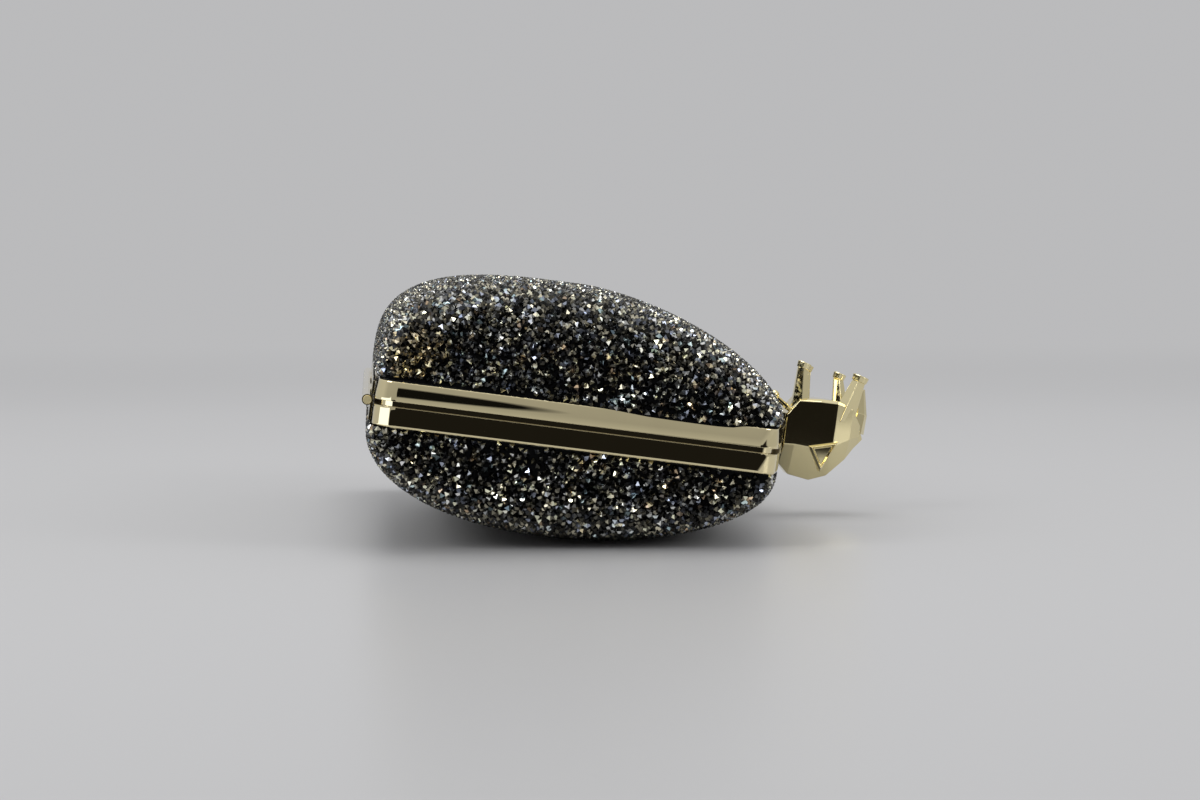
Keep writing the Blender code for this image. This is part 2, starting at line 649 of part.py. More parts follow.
def headed_peg(name, centre, radius, head_radius, head_x, head_thickness, end_x, colour):
    """A rivet or screw along X: head_x is the face of the head that bears on the plate."""
    toward_end = math.copysign(1, end_x - head_x)
    top_x = head_x - toward_end * head_thickness
    middle_x = (head_x + top_x) / 2
    thing = add_object(name, peg(name, centre, head_radius, *sorted((head_x, top_x))),
                       colour, 0.25, 1.0)
    shank = peg(name + "_shank", centre, radius, *sorted((middle_x, end_x)))
    combine(thing, add_cutter(name + "_shank", shank), "UNION")
    smooth(thing)
    return thing


def rivet(name, y, z, plate_part, plate_thickness, frame_part):
    head_x = SEAT_X + plate_thickness + FIT
    end_x = CLASP_FACE_X - RIVET_DEPTH
    hole = peg(name + "_hole", (y, z), RIVET_RADIUS + FIT, end_x - FIT, head_x + CUT_OVERRUN)
    cutter = add_cutter(name + "_hole", hole)
    combine(plate_part, cutter, "DIFFERENCE")
    combine(frame_part, cutter, "DIFFERENCE")
    return headed_peg(name, (y, z), RIVET_RADIUS, RIVET_HEAD_RADIUS, head_x,
                      RIVET_HEAD_THICKNESS, end_x, GOLD)


RIVET_Y = EAR_OUTER_Y + RIVET_MARGIN / 2
BRACKET_RIVET_Z = (BRACKET_LOW_Z + BRACKET_HIGH_Z) / 2
KEEPER_RIVET_Z = (LIP_HIGH_Z + BRACKET_EDGE - FRAME_TOP_Z) / 2
bracket_rivets = []
for end, label in ((-1, "near"), (1, "far")):
    bracket_rivets.append(rivet("bracket_rivet_" + label, end * RIVET_Y, BRACKET_RIVET_Z,
                                bracket_part, BRACKET_THICKNESS, front_frame))
    rivet("keeper_rivet_" + label, end * RIVET_Y, KEEPER_RIVET_Z, keeper_part,
          KEEPER_THICKNESS, back_frame)

# Clasp figure: a stout faceted elephant in cast metal, legs upwards, its rump on the lever
RUMP_X = LEVER_OUTER_X + FIT
TORSO_LENGTH = 0.0222
TORSO_DEPTH = 0.0236
TORSO_THICKNESS = 0.0152
BELLY_Z = 0.0123
HEAD_DEPTH = 0.0108
HEAD_THICKNESS = 0.0100
LEG_SPREAD = 0.0098
LEG_ROOT_RADIUS = 0.0026
LEG_FOOT_RADIUS = 0.0014
LEG_LENGTH = 0.0082
LEG_ROOT_DEPTH = 0.0055
FOOT_RADIUS = 0.0017
FOOT_THICKNESS = 0.0016
FOOT_REACH = 0.0006
TRUNK_ROOT_RADIUS = 0.0027
TRUNK_TIP_RADIUS = 0.0014
SHOULDER_RUN = 0.0062
SHOULDER_END_RADIUS = 0.0008
EAR_STANDING = 0.0013
EAR_DISH_DEPTH = 0.0007
EAR_ROOT_DEPTH = 0.0040
TAIL_ROOT_RADIUS = 0.0009
TAIL_TIP_RADIUS = 0.0006
TAIL_BALL_RADIUS = 0.0015
TAIL_BALL_OFFSET = 0.0019
TAIL_BALL_Z = 0.0116

# For each station from rump to chest: its place along the torso, then the belly's and the
# back's places across the depth, then how much of the full thickness it has
TORSO_SHARES = [
    (0.00, 0.22, 0.84, 1.00),
    (0.14, 0.02, 0.96, 1.00),
    (0.42, 0.00, 1.00, 1.00),
    (0.64, 0.00, 0.92, 1.00),
    (0.86, 0.06, 0.70, 0.80),
    (1.00, 0.26, 0.50, 0.44),
]
# Places round a section: across its half thickness and over its depth, belly to back
SECTION_SHARES = [(0.84, 0.00), (1.00, 0.03), (1.00, 0.60), (0.42, 1.00)]
# For each station from nape to forehead: its place along the head, depth and thickness
HEAD_SHARES = [
    (0.00, 0.80, 0.80),
    (0.28, 1.00, 1.00),
    (0.66, 0.72, 0.84),
    (1.00, 0.42, 0.50),
]
# The head's middle line and the trunk's, as places along the torso and across its depth
NAPE_SHARES = (0.52, 0.62)
FOREHEAD_SHARES = (1.02, 0.35)
TRUNK_SHARES = [(0.97, 0.36), (1.01, 0.12), (0.97, -0.17)]
# For each leg: its root's and foot's places along the torso, its side, length and girth
LEG_SHARES = [
    ("hind_near", 0.18, 0.14, -1, 1.02, 1.20),
    ("hind_far", 0.25, 0.26, 1, 0.94, 1.12),
    ("front_near", 0.74, 0.89, -1, 0.80, 1.34),
    ("front_far", 0.79, 0.70, 1, 0.78, 1.12),
]
# How far apart the shoulders and haunches end inside the torso, over the spread of the legs
SHOULDER_END_SHARE = 0.36
# The ear's corners, as places along the torso and across its depth, then the sizes of its
# rim and dish
EAR_SHARES = [(0.322, 0.576), (0.702, 0.485), (0.513, 0.875)]
EAR_RIM_SHARE = 0.80
EAR_DISH_SHARE = 0.62


def torso_place(along_share, across_share):
    """A place in the figure's middle plane: along from the rump, across from the belly."""
    return Vector((RUMP_X + TORSO_LENGTH * along_share, 0, BELLY_Z - TORSO_DEPTH * across_share))


def faceted_section(belly, back, half_thickness):
    """A section from its belly point to its back point, the same on both sides."""
    side = [(y * half_thickness, belly.lerp(back, over)) for y, over in SECTION_SHARES]
    right = [Vector((p.x, y, p.z)) for y, p in side]
    left = [Vector((p.x, -p.y, p.z)) for p in reversed(right)]
    return right + left


def torso_mesh():
    sections = []
    for along, belly, back, thickness in TORSO_SHARES:
        sections.append(faceted_section(torso_place(along, belly), torso_place(along, back),
                                        TORSO_THICKNESS / 2 * thickness))
    return loft(sections, "clasp_figure")


def head_mesh():
    nape = torso_place(*NAPE_SHARES)
    forehead = torso_place(*FOREHEAD_SHARES)
    axis = (forehead - nape).normalized()
    upright = Vector((-axis.z, 0, axis.x))
    sections = []
    for along, depth, thickness in HEAD_SHARES:
        middle = nape.lerp(forehead, along)
        reach = upright * HEAD_DEPTH / 2 * depth
        sections.append(faceted_section(middle + reach, middle - reach,
                                        HEAD_THICKNESS / 2 * thickness))
    return loft(sections, "figure_head")


def spike(name, root, tip, root_radius, tip_radius, sides=5):
    """A tapered bar from one place to another."""
    shape = bmesh.new()
    axis = tip - root
    turn = axis.to_track_quat("Z", "Y").to_matrix().to_4x4()
    place = Matrix.Translation((root + tip) / 2) @ turn
    bmesh.ops.create_cone(shape, cap_ends=True, segments=sides, radius1=root_radius,
                          radius2=tip_radius, depth=axis.length, matrix=place)
    return mesh_from(shape, name)


def ball(name, centre, radius):
    shape = bmesh.new()
    bmesh.ops.create_icosphere(shape, subdivisions=2, radius=radius,
                               matrix=Matrix.Translation(centre))
    return mesh_from(shape, name)


def ear_mesh(name, side):
    """A three-cornered ear flap: out of the flank, over a bevelled rim and into a dish."""
    corners = [torso_place(*place) for place in EAR_SHARES]
    middle = sum(corners, Vector()) / len(corners)
    flank = TORSO_THICKNESS / 2
    rim = flank + EAR_STANDING
    loops = []
    for share, out in ((1, flank - EAR_ROOT_DEPTH), (1, flank + EAR_STANDING / 4),
                       (EAR_RIM_SHARE, rim), (EAR_DISH_SHARE, rim - EAR_DISH_DEPTH)):
        spread = [middle.lerp(corner_place, share) for corner_place in corners]
        loops.append([Vector((p.x, side * out, p.z)) for p in spread])
    return loft(loops, name)


def level_ring(centre, radius, sides=5):
    """Corners evenly round a centre, all at its height."""
    turns = [math.tau * step / sides for step in range(sides)]
    return [centre + Vector((math.cos(turn), math.sin(turn), 0)) * radius for turn in turns]


def leg_meshes(name, root_share, foot_share, side, length_share, girth_share):
    """A leg with its shoulder or haunch running out inside the torso, and its foot."""
    out = Vector((0, side * LEG_SPREAD / 2, 0))
    root = torso_place(root_share, 0) + out - Vector((0, 0, LEG_ROOT_DEPTH))
    end = root - out * (1 - SHOULDER_END_SHARE) - Vector((0, 0, SHOULDER_RUN))
    foot = torso_place(foot_share, 0) + out + Vector((0, 0, LEG_LENGTH * length_share))
    heel = foot - Vector((0, 0, FOOT_THICKNESS / 3))
    sole = foot + Vector((FOOT_REACH, 0, FOOT_THICKNESS))
    foot_radius = LEG_FOOT_RADIUS * girth_share
    leg = loft([level_ring(end, SHOULDER_END_RADIUS),
                level_ring(root, LEG_ROOT_RADIUS * girth_share),
                level_ring(foot, foot_radius)], "leg_" + name)
    sole_radius = FOOT_RADIUS * girth_share
    return [leg, spike("foot_" + name, heel, sole, foot_radius, sole_radius, sides=6)]


def clasp_figure():
    figure = add_object("clasp_figure", torso_mesh(), GOLD, 0.12, 1.0)
    pieces = [head_mesh()]
    for leg in LEG_SHARES:
        pieces += leg_meshes(*leg)
    for side, label in ((-1, "near"), (1, "far")):
        pieces.append(ear_mesh("ear_of_figure_" + label, side))
    trunk_root, trunk_bend, trunk_tip = [torso_place(*place) for place in TRUNK_SHARES]
    bend_radius = (TRUNK_ROOT_RADIUS + TRUNK_TIP_RADIUS) / 2
    pieces.append(spike("trunk_upper", trunk_root, trunk_bend, TRUNK_ROOT_RADIUS, bend_radius,
                        sides=6))
    pieces.append(spike("trunk_lower", trunk_bend - Vector((0, 0, bend_radius / 2)), trunk_tip,
                        bend_radius, TRUNK_TIP_RADIUS, sides=6))
    tuft = Vector((CLASP_FACE_X + TAIL_BALL_OFFSET, 0, TAIL_BALL_Z))
    tail_root = torso_place(TORSO_SHARES[1][0], TORSO_SHARES[0][1])
    pieces.append(spike("tail", tail_root, tuft, TAIL_ROOT_RADIUS, TAIL_TIP_RADIUS, sides=6))
    pieces.append(ball("tail_tuft", tuft, TAIL_BALL_RADIUS))
    for piece in pieces:
        combine(figure, add_cutter(piece.name, piece), "UNION")
    room = plate(CLASP_FACE_X, RUMP_X, HOOK_LOW_Z - TORSO_DEPTH, TAB_HIGH_Z + FIT,
                 -TORSO_THICKNESS, TORSO_THICKNESS, "room_for_lever")
    combine(figure, add_cutter("room_for_lever", room), "DIFFERENCE")
    return figure


figure_part = clasp_figure()

# Screws through the lever's plate into the figure's rump
SCREW_RADIUS = 0.0006
SCREW_HEAD_RADIUS = 0.0012
SCREW_HEAD_THICKNESS = 0.0007
SCREW_DEPTH = 0.0030
SCREW_SPACING = 0.0060
SCREW_Z = -0.0009
figure_screws = []
for end, label in ((-1, "near"), (1, "far")):
    centre = (end * SCREW_SPACING / 2, SCREW_Z)
    name = "figure_screw_" + label
    bottom_x = RUMP_X + SCREW_DEPTH
    hole = peg(name + "_hole", centre, SCREW_RADIUS + FIT, LEVER_INNER_X - CUT_OVERRUN,
               bottom_x + FIT)
    cutter = add_cutter(name + "_hole", hole)
    combine(lever_part, cutter, "DIFFERENCE")
    combine(figure_part, cutter, "DIFFERENCE")
    figure_screws.append(headed_peg(name, centre, SCREW_RADIUS, SCREW_HEAD_RADIUS,
                                    LEVER_INNER_X - FIT, SCREW_HEAD_THICKNESS, bottom_x, STEEL))


# Moving groups: each hangs on an empty on its joint's axis
def hang(things, name, carrier, carrier_place, place):
    """Hang things on a new empty at a place in the level drawing, without moving them."""
    axis = bpy.data.objects.new(name, None)
    PARTS.objects.link(axis)
    axis.parent = carrier
    axis.location = place - carrier_place
    for thing in things:
        thing.parent = axis
        thing.location = -place
    return axis


HINGE_PLACE = Vector((HINGE_X, 0, 0))
PIVOT_PLACE = Vector((PIVOT_X, 0, PIVOT_Z))
front_half = [front_frame, front_shell, front_cover, front_lining, front_leaf, bracket_part,
              clasp_pin, spring_part] + bracket_rivets
lid_axis = hang(front_half, "lid_axis", ROOT, Vector(), HINGE_PLACE)
hang([lever_part, figure_part] + figure_screws, "clasp_axis", lid_axis, HINGE_PLACE, PIVOT_PLACE)
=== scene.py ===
import math

import bmesh
import bpy
import numpy as np
from mathutils import Matrix, Vector, kdtree
from mathutils.bvhtree import BVHTree


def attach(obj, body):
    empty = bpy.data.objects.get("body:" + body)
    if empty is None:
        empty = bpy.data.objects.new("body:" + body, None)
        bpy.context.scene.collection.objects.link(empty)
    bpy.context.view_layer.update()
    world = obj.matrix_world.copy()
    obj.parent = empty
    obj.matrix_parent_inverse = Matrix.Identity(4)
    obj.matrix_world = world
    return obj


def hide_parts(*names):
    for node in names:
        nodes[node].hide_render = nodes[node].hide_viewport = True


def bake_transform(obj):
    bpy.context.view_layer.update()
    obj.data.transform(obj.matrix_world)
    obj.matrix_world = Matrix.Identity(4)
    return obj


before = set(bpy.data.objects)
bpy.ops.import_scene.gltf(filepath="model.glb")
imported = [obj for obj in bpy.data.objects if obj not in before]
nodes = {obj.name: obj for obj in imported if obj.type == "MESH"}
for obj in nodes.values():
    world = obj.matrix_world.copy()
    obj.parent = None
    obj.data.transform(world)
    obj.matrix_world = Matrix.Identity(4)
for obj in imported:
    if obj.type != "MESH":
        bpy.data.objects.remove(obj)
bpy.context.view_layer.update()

# ---- Camera
# A short telephoto low over the table, about as high as the clutch's top, that looks along the
# clutch from a little to its hinge side.
CAMERA_PLACE = (-0.0677, -0.690, 0.0708)
CAMERA_DIP = 3.1
CAMERA_TURN = 5.36
CAMERA_LENS = 72.9


def put_in(name, data):
    """A new object in the scene with this mesh, curve, lamp or camera."""
    thing = bpy.data.objects.new(name, data)
    bpy.context.scene.collection.objects.link(thing)
    return thing


camera = put_in("camera", bpy.data.cameras.new("camera"))
camera.data.lens = CAMERA_LENS
camera.data.sensor_width = 36.0
camera.data.clip_start = 0.01
camera.location = CAMERA_PLACE
camera.rotation_euler = (math.radians(90.0 - CAMERA_DIP), 0.0, math.radians(-CAMERA_TURN))
bpy.context.scene.camera = camera
bpy.context.scene.view_settings.view_transform = "Standard"

# ---- Table top
# A pale laminated board with a soft gloss. The real board ends a forearm in front of the clutch;
# past that the board glows with the room's colours for polished metal only: a painted reflection.
BACKDROP = (0.495, 0.495, 0.503, 1.0)
BOARD_DARKER = (0.480, 0.480, 0.485, 1.0)
BOARD_LIGHTER = (0.530, 0.530, 0.535, 1.0)
BOARD_END = (0.235, 0.275)
BACKDROP_STARTS, BACKDROP_FULL = 0.10, 1.60
WINDOW = (1.46, 1.56, 1.80, 1.0)
DARK_ROOM = (0.012, 0.011, 0.010, 0.0)
PALE_WALL = (0.47, 0.47, 0.47, 0.0)
ROOM_LIGHT = (0.62, 0.62, 0.63, 1.0)
bpy.ops.object.select_all(action="DESELECT")
bpy.ops.mesh.primitive_plane_add(size=8.0, location=(0.0, 0.0, 0.0))
table = bpy.context.active_object
table.name = "table_top"


def new_material(name):
    material = bpy.data.materials.new(name)
    material.use_nodes = True
    return material, material.node_tree.nodes, material.node_tree.links


def join(links, *pairs):
    for start, end in pairs:
        links.new(start, end)


def dial(node, values):
    """Set a node's inputs by their names."""
    for name, value in values.items():
        node.inputs[name].default_value = value
    return node


def spread(n, start, end, low=0.0, high=1.0):
    """A node that turns values from start to end into values from low to high."""
    return dial(n.new("ShaderNodeMapRange"),
                {"From Min": start, "From Max": end, "To Min": low, "To Max": high})


def maths(n, operation, second=None, kind="Math"):
    """A node for a sum with numbers, or with vectors."""
    node = n.new("ShaderNode" + kind)
    node.operation = operation
    if second is not None:
        node.inputs[1].default_value = second
    return node


def noise(n, l, place, scale, detail=2.0):
    node = dial(n.new("ShaderNodeTexNoise"), {"Scale": scale, "Detail": detail})
    l.new(place, node.inputs["Vector"])
    return node.outputs["Fac"]


def colour_ramp(n, stops):
    """A colour ramp node with a stop for each (position, colour)."""
    ramp = n.new("ShaderNodeValToRGB")
    first, last = ramp.color_ramp.elements
    first.position, first.color = stops[0]
    last.position, last.color = stops[-1]
    for position, colour in stops[1:-1]:
        ramp.color_ramp.elements.new(position).color = colour
    return ramp


def mix_colour(n, l, share, first, second):
    """Mix two colours, each given as a socket or as a plain colour."""
    mix = n.new("ShaderNodeMix")
    mix.data_type = "RGBA"
    factor, a, b = [s for s in mix.inputs if s.enabled]
    for socket, given in ((factor, share), (a, first), (b, second)):
        if isinstance(given, bpy.types.NodeSocket):
            l.new(given, socket)
        else:
            socket.default_value = given
    return [s for s in mix.outputs if s.enabled][0]


def by_bearing(n, l, right, ahead):
    """Colours by the bearing that polished metal looks in, from straight ahead: a window on
    the left, the dark of the room round the camera, and pale walls. The alpha marks the window."""
    back = maths(n, "MULTIPLY", -1.0)
    bearing = maths(n, "ARCTAN2")
    share = spread(n, -math.pi, math.pi)
    stops = [(-180, PALE_WALL), (-98, PALE_WALL), (-94, DARK_ROOM), (-88, WINDOW), (-32, WINDOW),
             (-28, DARK_ROOM), (38, DARK_ROOM), (46, PALE_WALL), (180, PALE_WALL)]
    ramp = colour_ramp(n, [((degrees + 180.0) / 360.0, colour) for degrees, colour in stops])
    join(l, (ahead, back.inputs[0]), (right, bearing.inputs[0]), (back.outputs["Value"], bearing.inputs[1]),
         (bearing.outputs["Value"], share.inputs["Value"]), (share.outputs["Result"], ramp.inputs["Fac"]))
    return ramp


table_finish, n, l = new_material("pale_board")
shader = dial(n["Principled BSDF"], {"Roughness": 0.33, "Specular IOR Level": 0.45})
where = n.new("ShaderNodeTexCoord").outputs["Object"]
split = n.new("ShaderNodeSeparateXYZ")
tone = colour_ramp(n, [(0.0, BOARD_DARKER), (1.0, BOARD_LIGHTER)])
# painted shade: the board is painted darker toward the camera and lighter away from it, as the light falls
# off
painted_shade_toward_camera = spread(n, 0.50, -0.55, 1.04, 0.86)
toned = maths(n, "SCALE", kind="VectorMath")
join(l, (where, split.inputs["Vector"]), (noise(n, l, where, 1.3), tone.inputs["Fac"]),
     (split.outputs["Y"], painted_shade_toward_camera.inputs["Value"]), (tone.outputs["Color"], toned.inputs["Vector"]),
     (painted_shade_toward_camera.outputs["Result"], toned.inputs["Scale"]),
     (toned.outputs["Vector"], shader.inputs["Base Color"]))
# past its end the board glows with the room's colours for glossy rays only: a painted reflection of the room
reach = maths(n, "LENGTH", kind="VectorMath")
past_end = spread(n, *BOARD_END)
ray = n.new("ShaderNodeLightPath")
seen_in_metal = maths(n, "MULTIPLY")
room = n.new("ShaderNodeEmission")
room_painted_reflection = n.new("ShaderNodeMixShader")
join(l, (by_bearing(n, l, split.outputs["X"], split.outputs["Y"]).outputs["Color"], room.inputs["Color"]),
     (where, reach.inputs[0]), (reach.outputs["Value"], past_end.inputs["Value"]),
     (past_end.outputs["Result"], seen_in_metal.inputs[0]),
     (ray.outputs["Is Glossy Ray"], seen_in_metal.inputs[1]),
     (seen_in_metal.outputs["Value"], room_painted_reflection.inputs["Fac"]), (shader.outputs["BSDF"], room_painted_reflection.inputs[1]),
     (room.outputs["Emission"], room_painted_reflection.inputs[2]))
# far off, the camera sees it fade into the backdrop
far_off = spread(n, BACKDROP_STARTS, BACKDROP_FULL)
far_off.interpolation_type = "SMOOTHSTEP"
seen_far_off = maths(n, "MULTIPLY")
backdrop = dial(n.new("ShaderNodeEmission"), {"Color": BACKDROP})
faded = n.new("ShaderNodeMixShader")
join(l, (split.outputs["Y"], far_off.inputs["Value"]), (far_off.outputs["Result"], seen_far_off.inputs[0]),
     (ray.outputs["Is Camera Ray"], seen_far_off.inputs[1]),
     (seen_far_off.outputs["Value"], faded.inputs["Fac"]), (room_painted_reflection.outputs["Shader"], faded.inputs[1]),
     (backdrop.outputs["Emission"], faded.inputs[2]),
     (faded.outputs["Shader"], n["Material Output"].inputs["Surface"]))
table.data.materials.append(table_finish)

# ---- Studio
# A pale backdrop all round, two soft boxes beside the camera and one overhead. What stands by
# the camera is dark, and polished metal picks that up.
WINDOW_TOP = (0.145, 0.160)
LEVEL_BAND = (0.022, 0.040)
DARK_BODY = (0.020, -0.98, 0.140)
DARK_BODY_HALF_WIDTH, DARK_BODY_HALF_HEIGHT = 0.080, 0.046
DARK_BODY_COLOUR = (0.006, 0.006, 0.006, 1.0)
world = bpy.data.worlds.new("studio")
bpy.context.scene.world = world
world.use_nodes = True
n, l = world.node_tree.nodes, world.node_tree.links
direction = n.new("ShaderNodeTexCoord").outputs["Generated"]
axes = n.new("ShaderNodeSeparateXYZ")
l.new(direction, axes.inputs["Vector"])


def height_ramp(stops):
    """Grey levels by the height of the direction looked in, from -1 to 1."""
    height = spread(n, -1.0, 1.0)
    ramp = colour_ramp(n, [((z + 1.0) / 2.0, (grey, grey, grey * 1.01, 1.0)) for z, grey in stops])
    join(l, (axes.outputs["Z"], height.inputs["Value"]), (height.outputs["Result"], ramp.inputs["Fac"]))
    return ramp.outputs["Color"]


# the camera's side above the level band, and what by_bearing gives within it
camera_side = height_ramp([(0.040, 0.47), (0.110, 0.36), (0.35, 0.42), (0.62, 0.62), (1.0, 0.85)])
band = spread(n, LEVEL_BAND[1], LEVEL_BAND[0])
level_view = by_bearing(n, l, axes.outputs["X"], axes.outputs["Y"])
l.new(axes.outputs["Z"], band.inputs["Value"])
camera_side = mix_colour(n, l, band.outputs["Result"], camera_side, level_view.outputs["Color"])
window_height = spread(n, WINDOW_TOP[1], WINDOW_TOP[0])
in_window = maths(n, "MULTIPLY")
join(l, (axes.outputs["Z"], window_height.inputs["Value"]),
     (window_height.outputs["Result"], in_window.inputs[0]),
     (level_view.outputs["Alpha"], in_window.inputs[1]))
backdrop_side = height_ramp([(-0.10, 0.50), (0.10, 0.50), (0.35, 0.55), (1.0, 0.85)])
facing = spread(n, -0.15, -0.55)
l.new(axes.outputs["Y"], facing.inputs["Value"])
room = mix_colour(n, l, facing.outputs["Result"], backdrop_side, camera_side)
room = mix_colour(n, l, in_window.outputs["Value"], room, level_view.outputs["Color"])
# what stands by the camera, as polished metal sees it
from_body = maths(n, "SUBTRACT", DARK_BODY, "VectorMath")
stretched = maths(n, "MULTIPLY", (1.0 / DARK_BODY_HALF_WIDTH, 1.0, 1.0 / DARK_BODY_HALF_HEIGHT), "VectorMath")
distance = maths(n, "LENGTH", kind="VectorMath")
body_edge = spread(n, 0.85, 1.10)
join(l, (direction, from_body.inputs[0]), (from_body.outputs["Vector"], stretched.inputs[0]),
     (stretched.outputs["Vector"], distance.inputs[0]),
     (distance.outputs["Value"], body_edge.inputs["Value"]))
with_body = mix_colour(n, l, body_edge.outputs["Result"], DARK_BODY_COLOUR, room)
ray = n.new("ShaderNodeLightPath")
others_see = mix_colour(n, l, ray.outputs["Is Glossy Ray"], ROOM_LIGHT, with_body)
camera_sees = mix_colour(n, l, ray.outputs["Is Camera Ray"], others_see, BACKDROP)
l.new(camera_sees, n["Background"].inputs["Color"])
n["Background"].inputs["Strength"].default_value = 1.0


def soft_box(name, place, target, width, height, power):
    lamp = bpy.data.lights.new(name, "AREA")
    lamp.shape = "RECTANGLE"
    lamp.size = width
    lamp.size_y = height
    lamp.energy = power
    box = put_in(name, lamp)
    box.location = place
    aim = Vector(target) - Vector(place)
    box.rotation_euler = aim.to_track_quat("-Z", "Y").to_euler()


soft_box("soft_box_left", (-0.72, -0.50, 0.62), (0.0, 0.0, 0.02), 0.42, 0.42, 2.8)
soft_box("soft_box_right", (0.80, -0.60, 0.50), (0.0, 0.0, 0.02), 0.42, 0.50, 2.7)
soft_box("soft_box_top", (0.0, 0.10, 1.05), (0.0, 0.0, 0.0), 0.70, 0.70, 4.2)

# ---- Frame rings
# Two polished pale-gold rings of drawn metal strip, bent round the plan of the clutch and
# brazed into one. The front one closes over the tongue of the back one.
REST_PLACE = (-0.017106, 0.0, 0.031271)
REST_ROLL = 7.5
REST = Matrix.Translation(REST_PLACE) @ Matrix.Rotation(math.radians(REST_ROLL), 4, "Y")
LENGTH = 0.180
END_WIDTH = 0.1012
CLASP_SIDE_BOW = 0.011
CORNER_RADIUS = 0.0055
HALF_LENGTH = LENGTH / 2.0
HALF_WIDTH = END_WIDTH / 2.0
BOW_RADIUS = (HALF_LENGTH ** 2 + CLASP_SIDE_BOW ** 2) / (2.0 * CLASP_SIDE_BOW)
BOW_CENTRE = HALF_WIDTH + CLASP_SIDE_BOW - BOW_RADIUS
BOW_STEPS = 48
CORNER_STEPS = 14
ROUNDING_STEPS = 5
# heights above the parting, and distances in from the outer face
FRAME_TOP = 0.0058
FRONT_RING_LOW = 0.0008
BACK_RING_HIGH = -0.0006
TONGUE_HIGH = 0.0021
WALL = 0.0014
FLANGE = 0.0032
FRONT_FLANGE = (0.0024, 0.0034)
BACK_FLANGE = (-0.0016, -0.0006)
TONGUE = (0.0017, 0.0028)
PARTING_DEPTH = 0.0010


def arc(x, y, radius, start, end, steps):
    turns = [start + (end - start) * k / steps for k in range(steps + 1)]
    return [(x + radius * math.cos(t), y + radius * math.sin(t)) for t in turns]


def plan(inset=0.0):
    """The plan of the clutch, anticlockwise: bowed clasp side, straight ends and hinge side."""
    radius = CORNER_RADIUS - inset
    y = HALF_LENGTH - inset - radius
    clasp_x = BOW_CENTRE + math.sqrt((BOW_RADIUS - inset - radius) ** 2 - y ** 2)
    hinge_x = inset + radius - HALF_WIDTH
    bow = math.atan2(y, clasp_x - BOW_CENTRE)
    quarter = math.pi / 2.0
    points = arc(BOW_CENTRE, 0.0, BOW_RADIUS - inset, -bow, bow, BOW_STEPS)
    points += arc(clasp_x, y, radius, bow, quarter, CORNER_STEPS)[1:]
    points += arc(hinge_x, y, radius, quarter, 2 * quarter, CORNER_STEPS)
    points += arc(hinge_x, -y, radius, 2 * quarter, 3 * quarter, CORNER_STEPS)
    points += arc(clasp_x, -y, radius, 3 * quarter, 4 * quarter - bow, CORNER_STEPS)[:-1]
    return points


def flat_curve(name, points, dimensions="3D"):
    """A closed line through points, drawn flat."""
    line = bpy.data.curves.new(name, "CURVE")
    line.dimensions = dimensions
    line.twist_mode = "Z_UP"
    spline = line.splines.new("POLY")
    spline.points.add(len(points) - 1)
    for knot, (x, y) in zip(spline.points, points):
        knot.co = (x, y, 0.0, 1.0)
    spline.use_cyclic_u = True
    return put_in(name, line)


def pick(thing):
    bpy.ops.object.select_all(action="DESELECT")
    thing.select_set(True)
    bpy.context.view_layer.objects.active = thing


def set_down(thing):
    """Carry a piece drawn level into the pose in which the clutch rests."""
    thing.data.transform(REST)
    thing.data.update()


def soften(corners):
    """An outline from corners (x, y, radius), each turned with its radius."""
    outline = []
    for i, (x, y, radius) in enumerate(corners):
        here = Vector((x, y))
        if radius == 0.0:
            outline.append((x, y))
            continue
        back = (Vector(corners[i - 1][:2]) - here).normalized()
        on = (Vector(corners[(i + 1) % len(corners)][:2]) - here).normalized()
        half = back.angle(on) / 2.0
        centre = here + (back + on).normalized() * radius / math.sin(half)
        first = here + back * radius / math.tan(half) - centre
        last = here + on * radius / math.tan(half) - centre
        start = math.atan2(first.y, first.x)
        turn = (math.atan2(last.y, last.x) - start + math.pi) % math.tau - math.pi
        outline += arc(centre.x, centre.y, radius, start, start + turn, ROUNDING_STEPS)
    return outline


def ring(name, profile, node):
    """Sweep a profile (outward, up) round the plan. Its second material, rougher and painted dark, is for the
    parting face: painted shade in the gap.
    """
    path = flat_curve(name, plan())
    section = flat_curve(name + "_profile", profile, "2D")
    path.data.bevel_mode = "OBJECT"
    path.data.bevel_object = section
    pick(path)
    bpy.ops.object.convert(target="MESH")
    piece = bpy.context.active_object
    bpy.data.objects.remove(section)
    bpy.ops.object.mode_set(mode="EDIT")
    bpy.ops.mesh.select_all(action="SELECT")
    bpy.ops.mesh.remove_doubles(threshold=0.000005)
    bpy.ops.mesh.normals_make_consistent(inside=False)
    bpy.ops.object.mode_set(mode="OBJECT")
    bpy.ops.object.shade_smooth_by_angle(angle=math.radians(32.0))
    # the parting faces take the second material, whose dark colour is painted shade in the gap between the
    # rings
    for face in piece.data.polygons:
        if abs(face.normal.z) > 0.7 and abs(face.center.z) < PARTING_DEPTH:
            face.material_index = 1
    set_down(piece)
    crisp = piece.modifiers.new("crisp_normals", "WEIGHTED_NORMAL")
    crisp.keep_sharp = True
    crisp.weight = 60
    pick(piece)
    bpy.ops.object.modifier_apply(modifier=crisp.name)
    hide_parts(node)
    return piece


def leaning(low, high, rise, steps=7):
    """Corners up a face that leans from low to high and stands out a little at its middle."""
    return [(low[0] + (high[0] - low[0]) * k / steps + rise * (1.0 - (2.0 * k / steps - 1.0) ** 2),
             low[1] + (high[1] - low[1]) * k / steps, 0.0) for k in range(1, steps)]


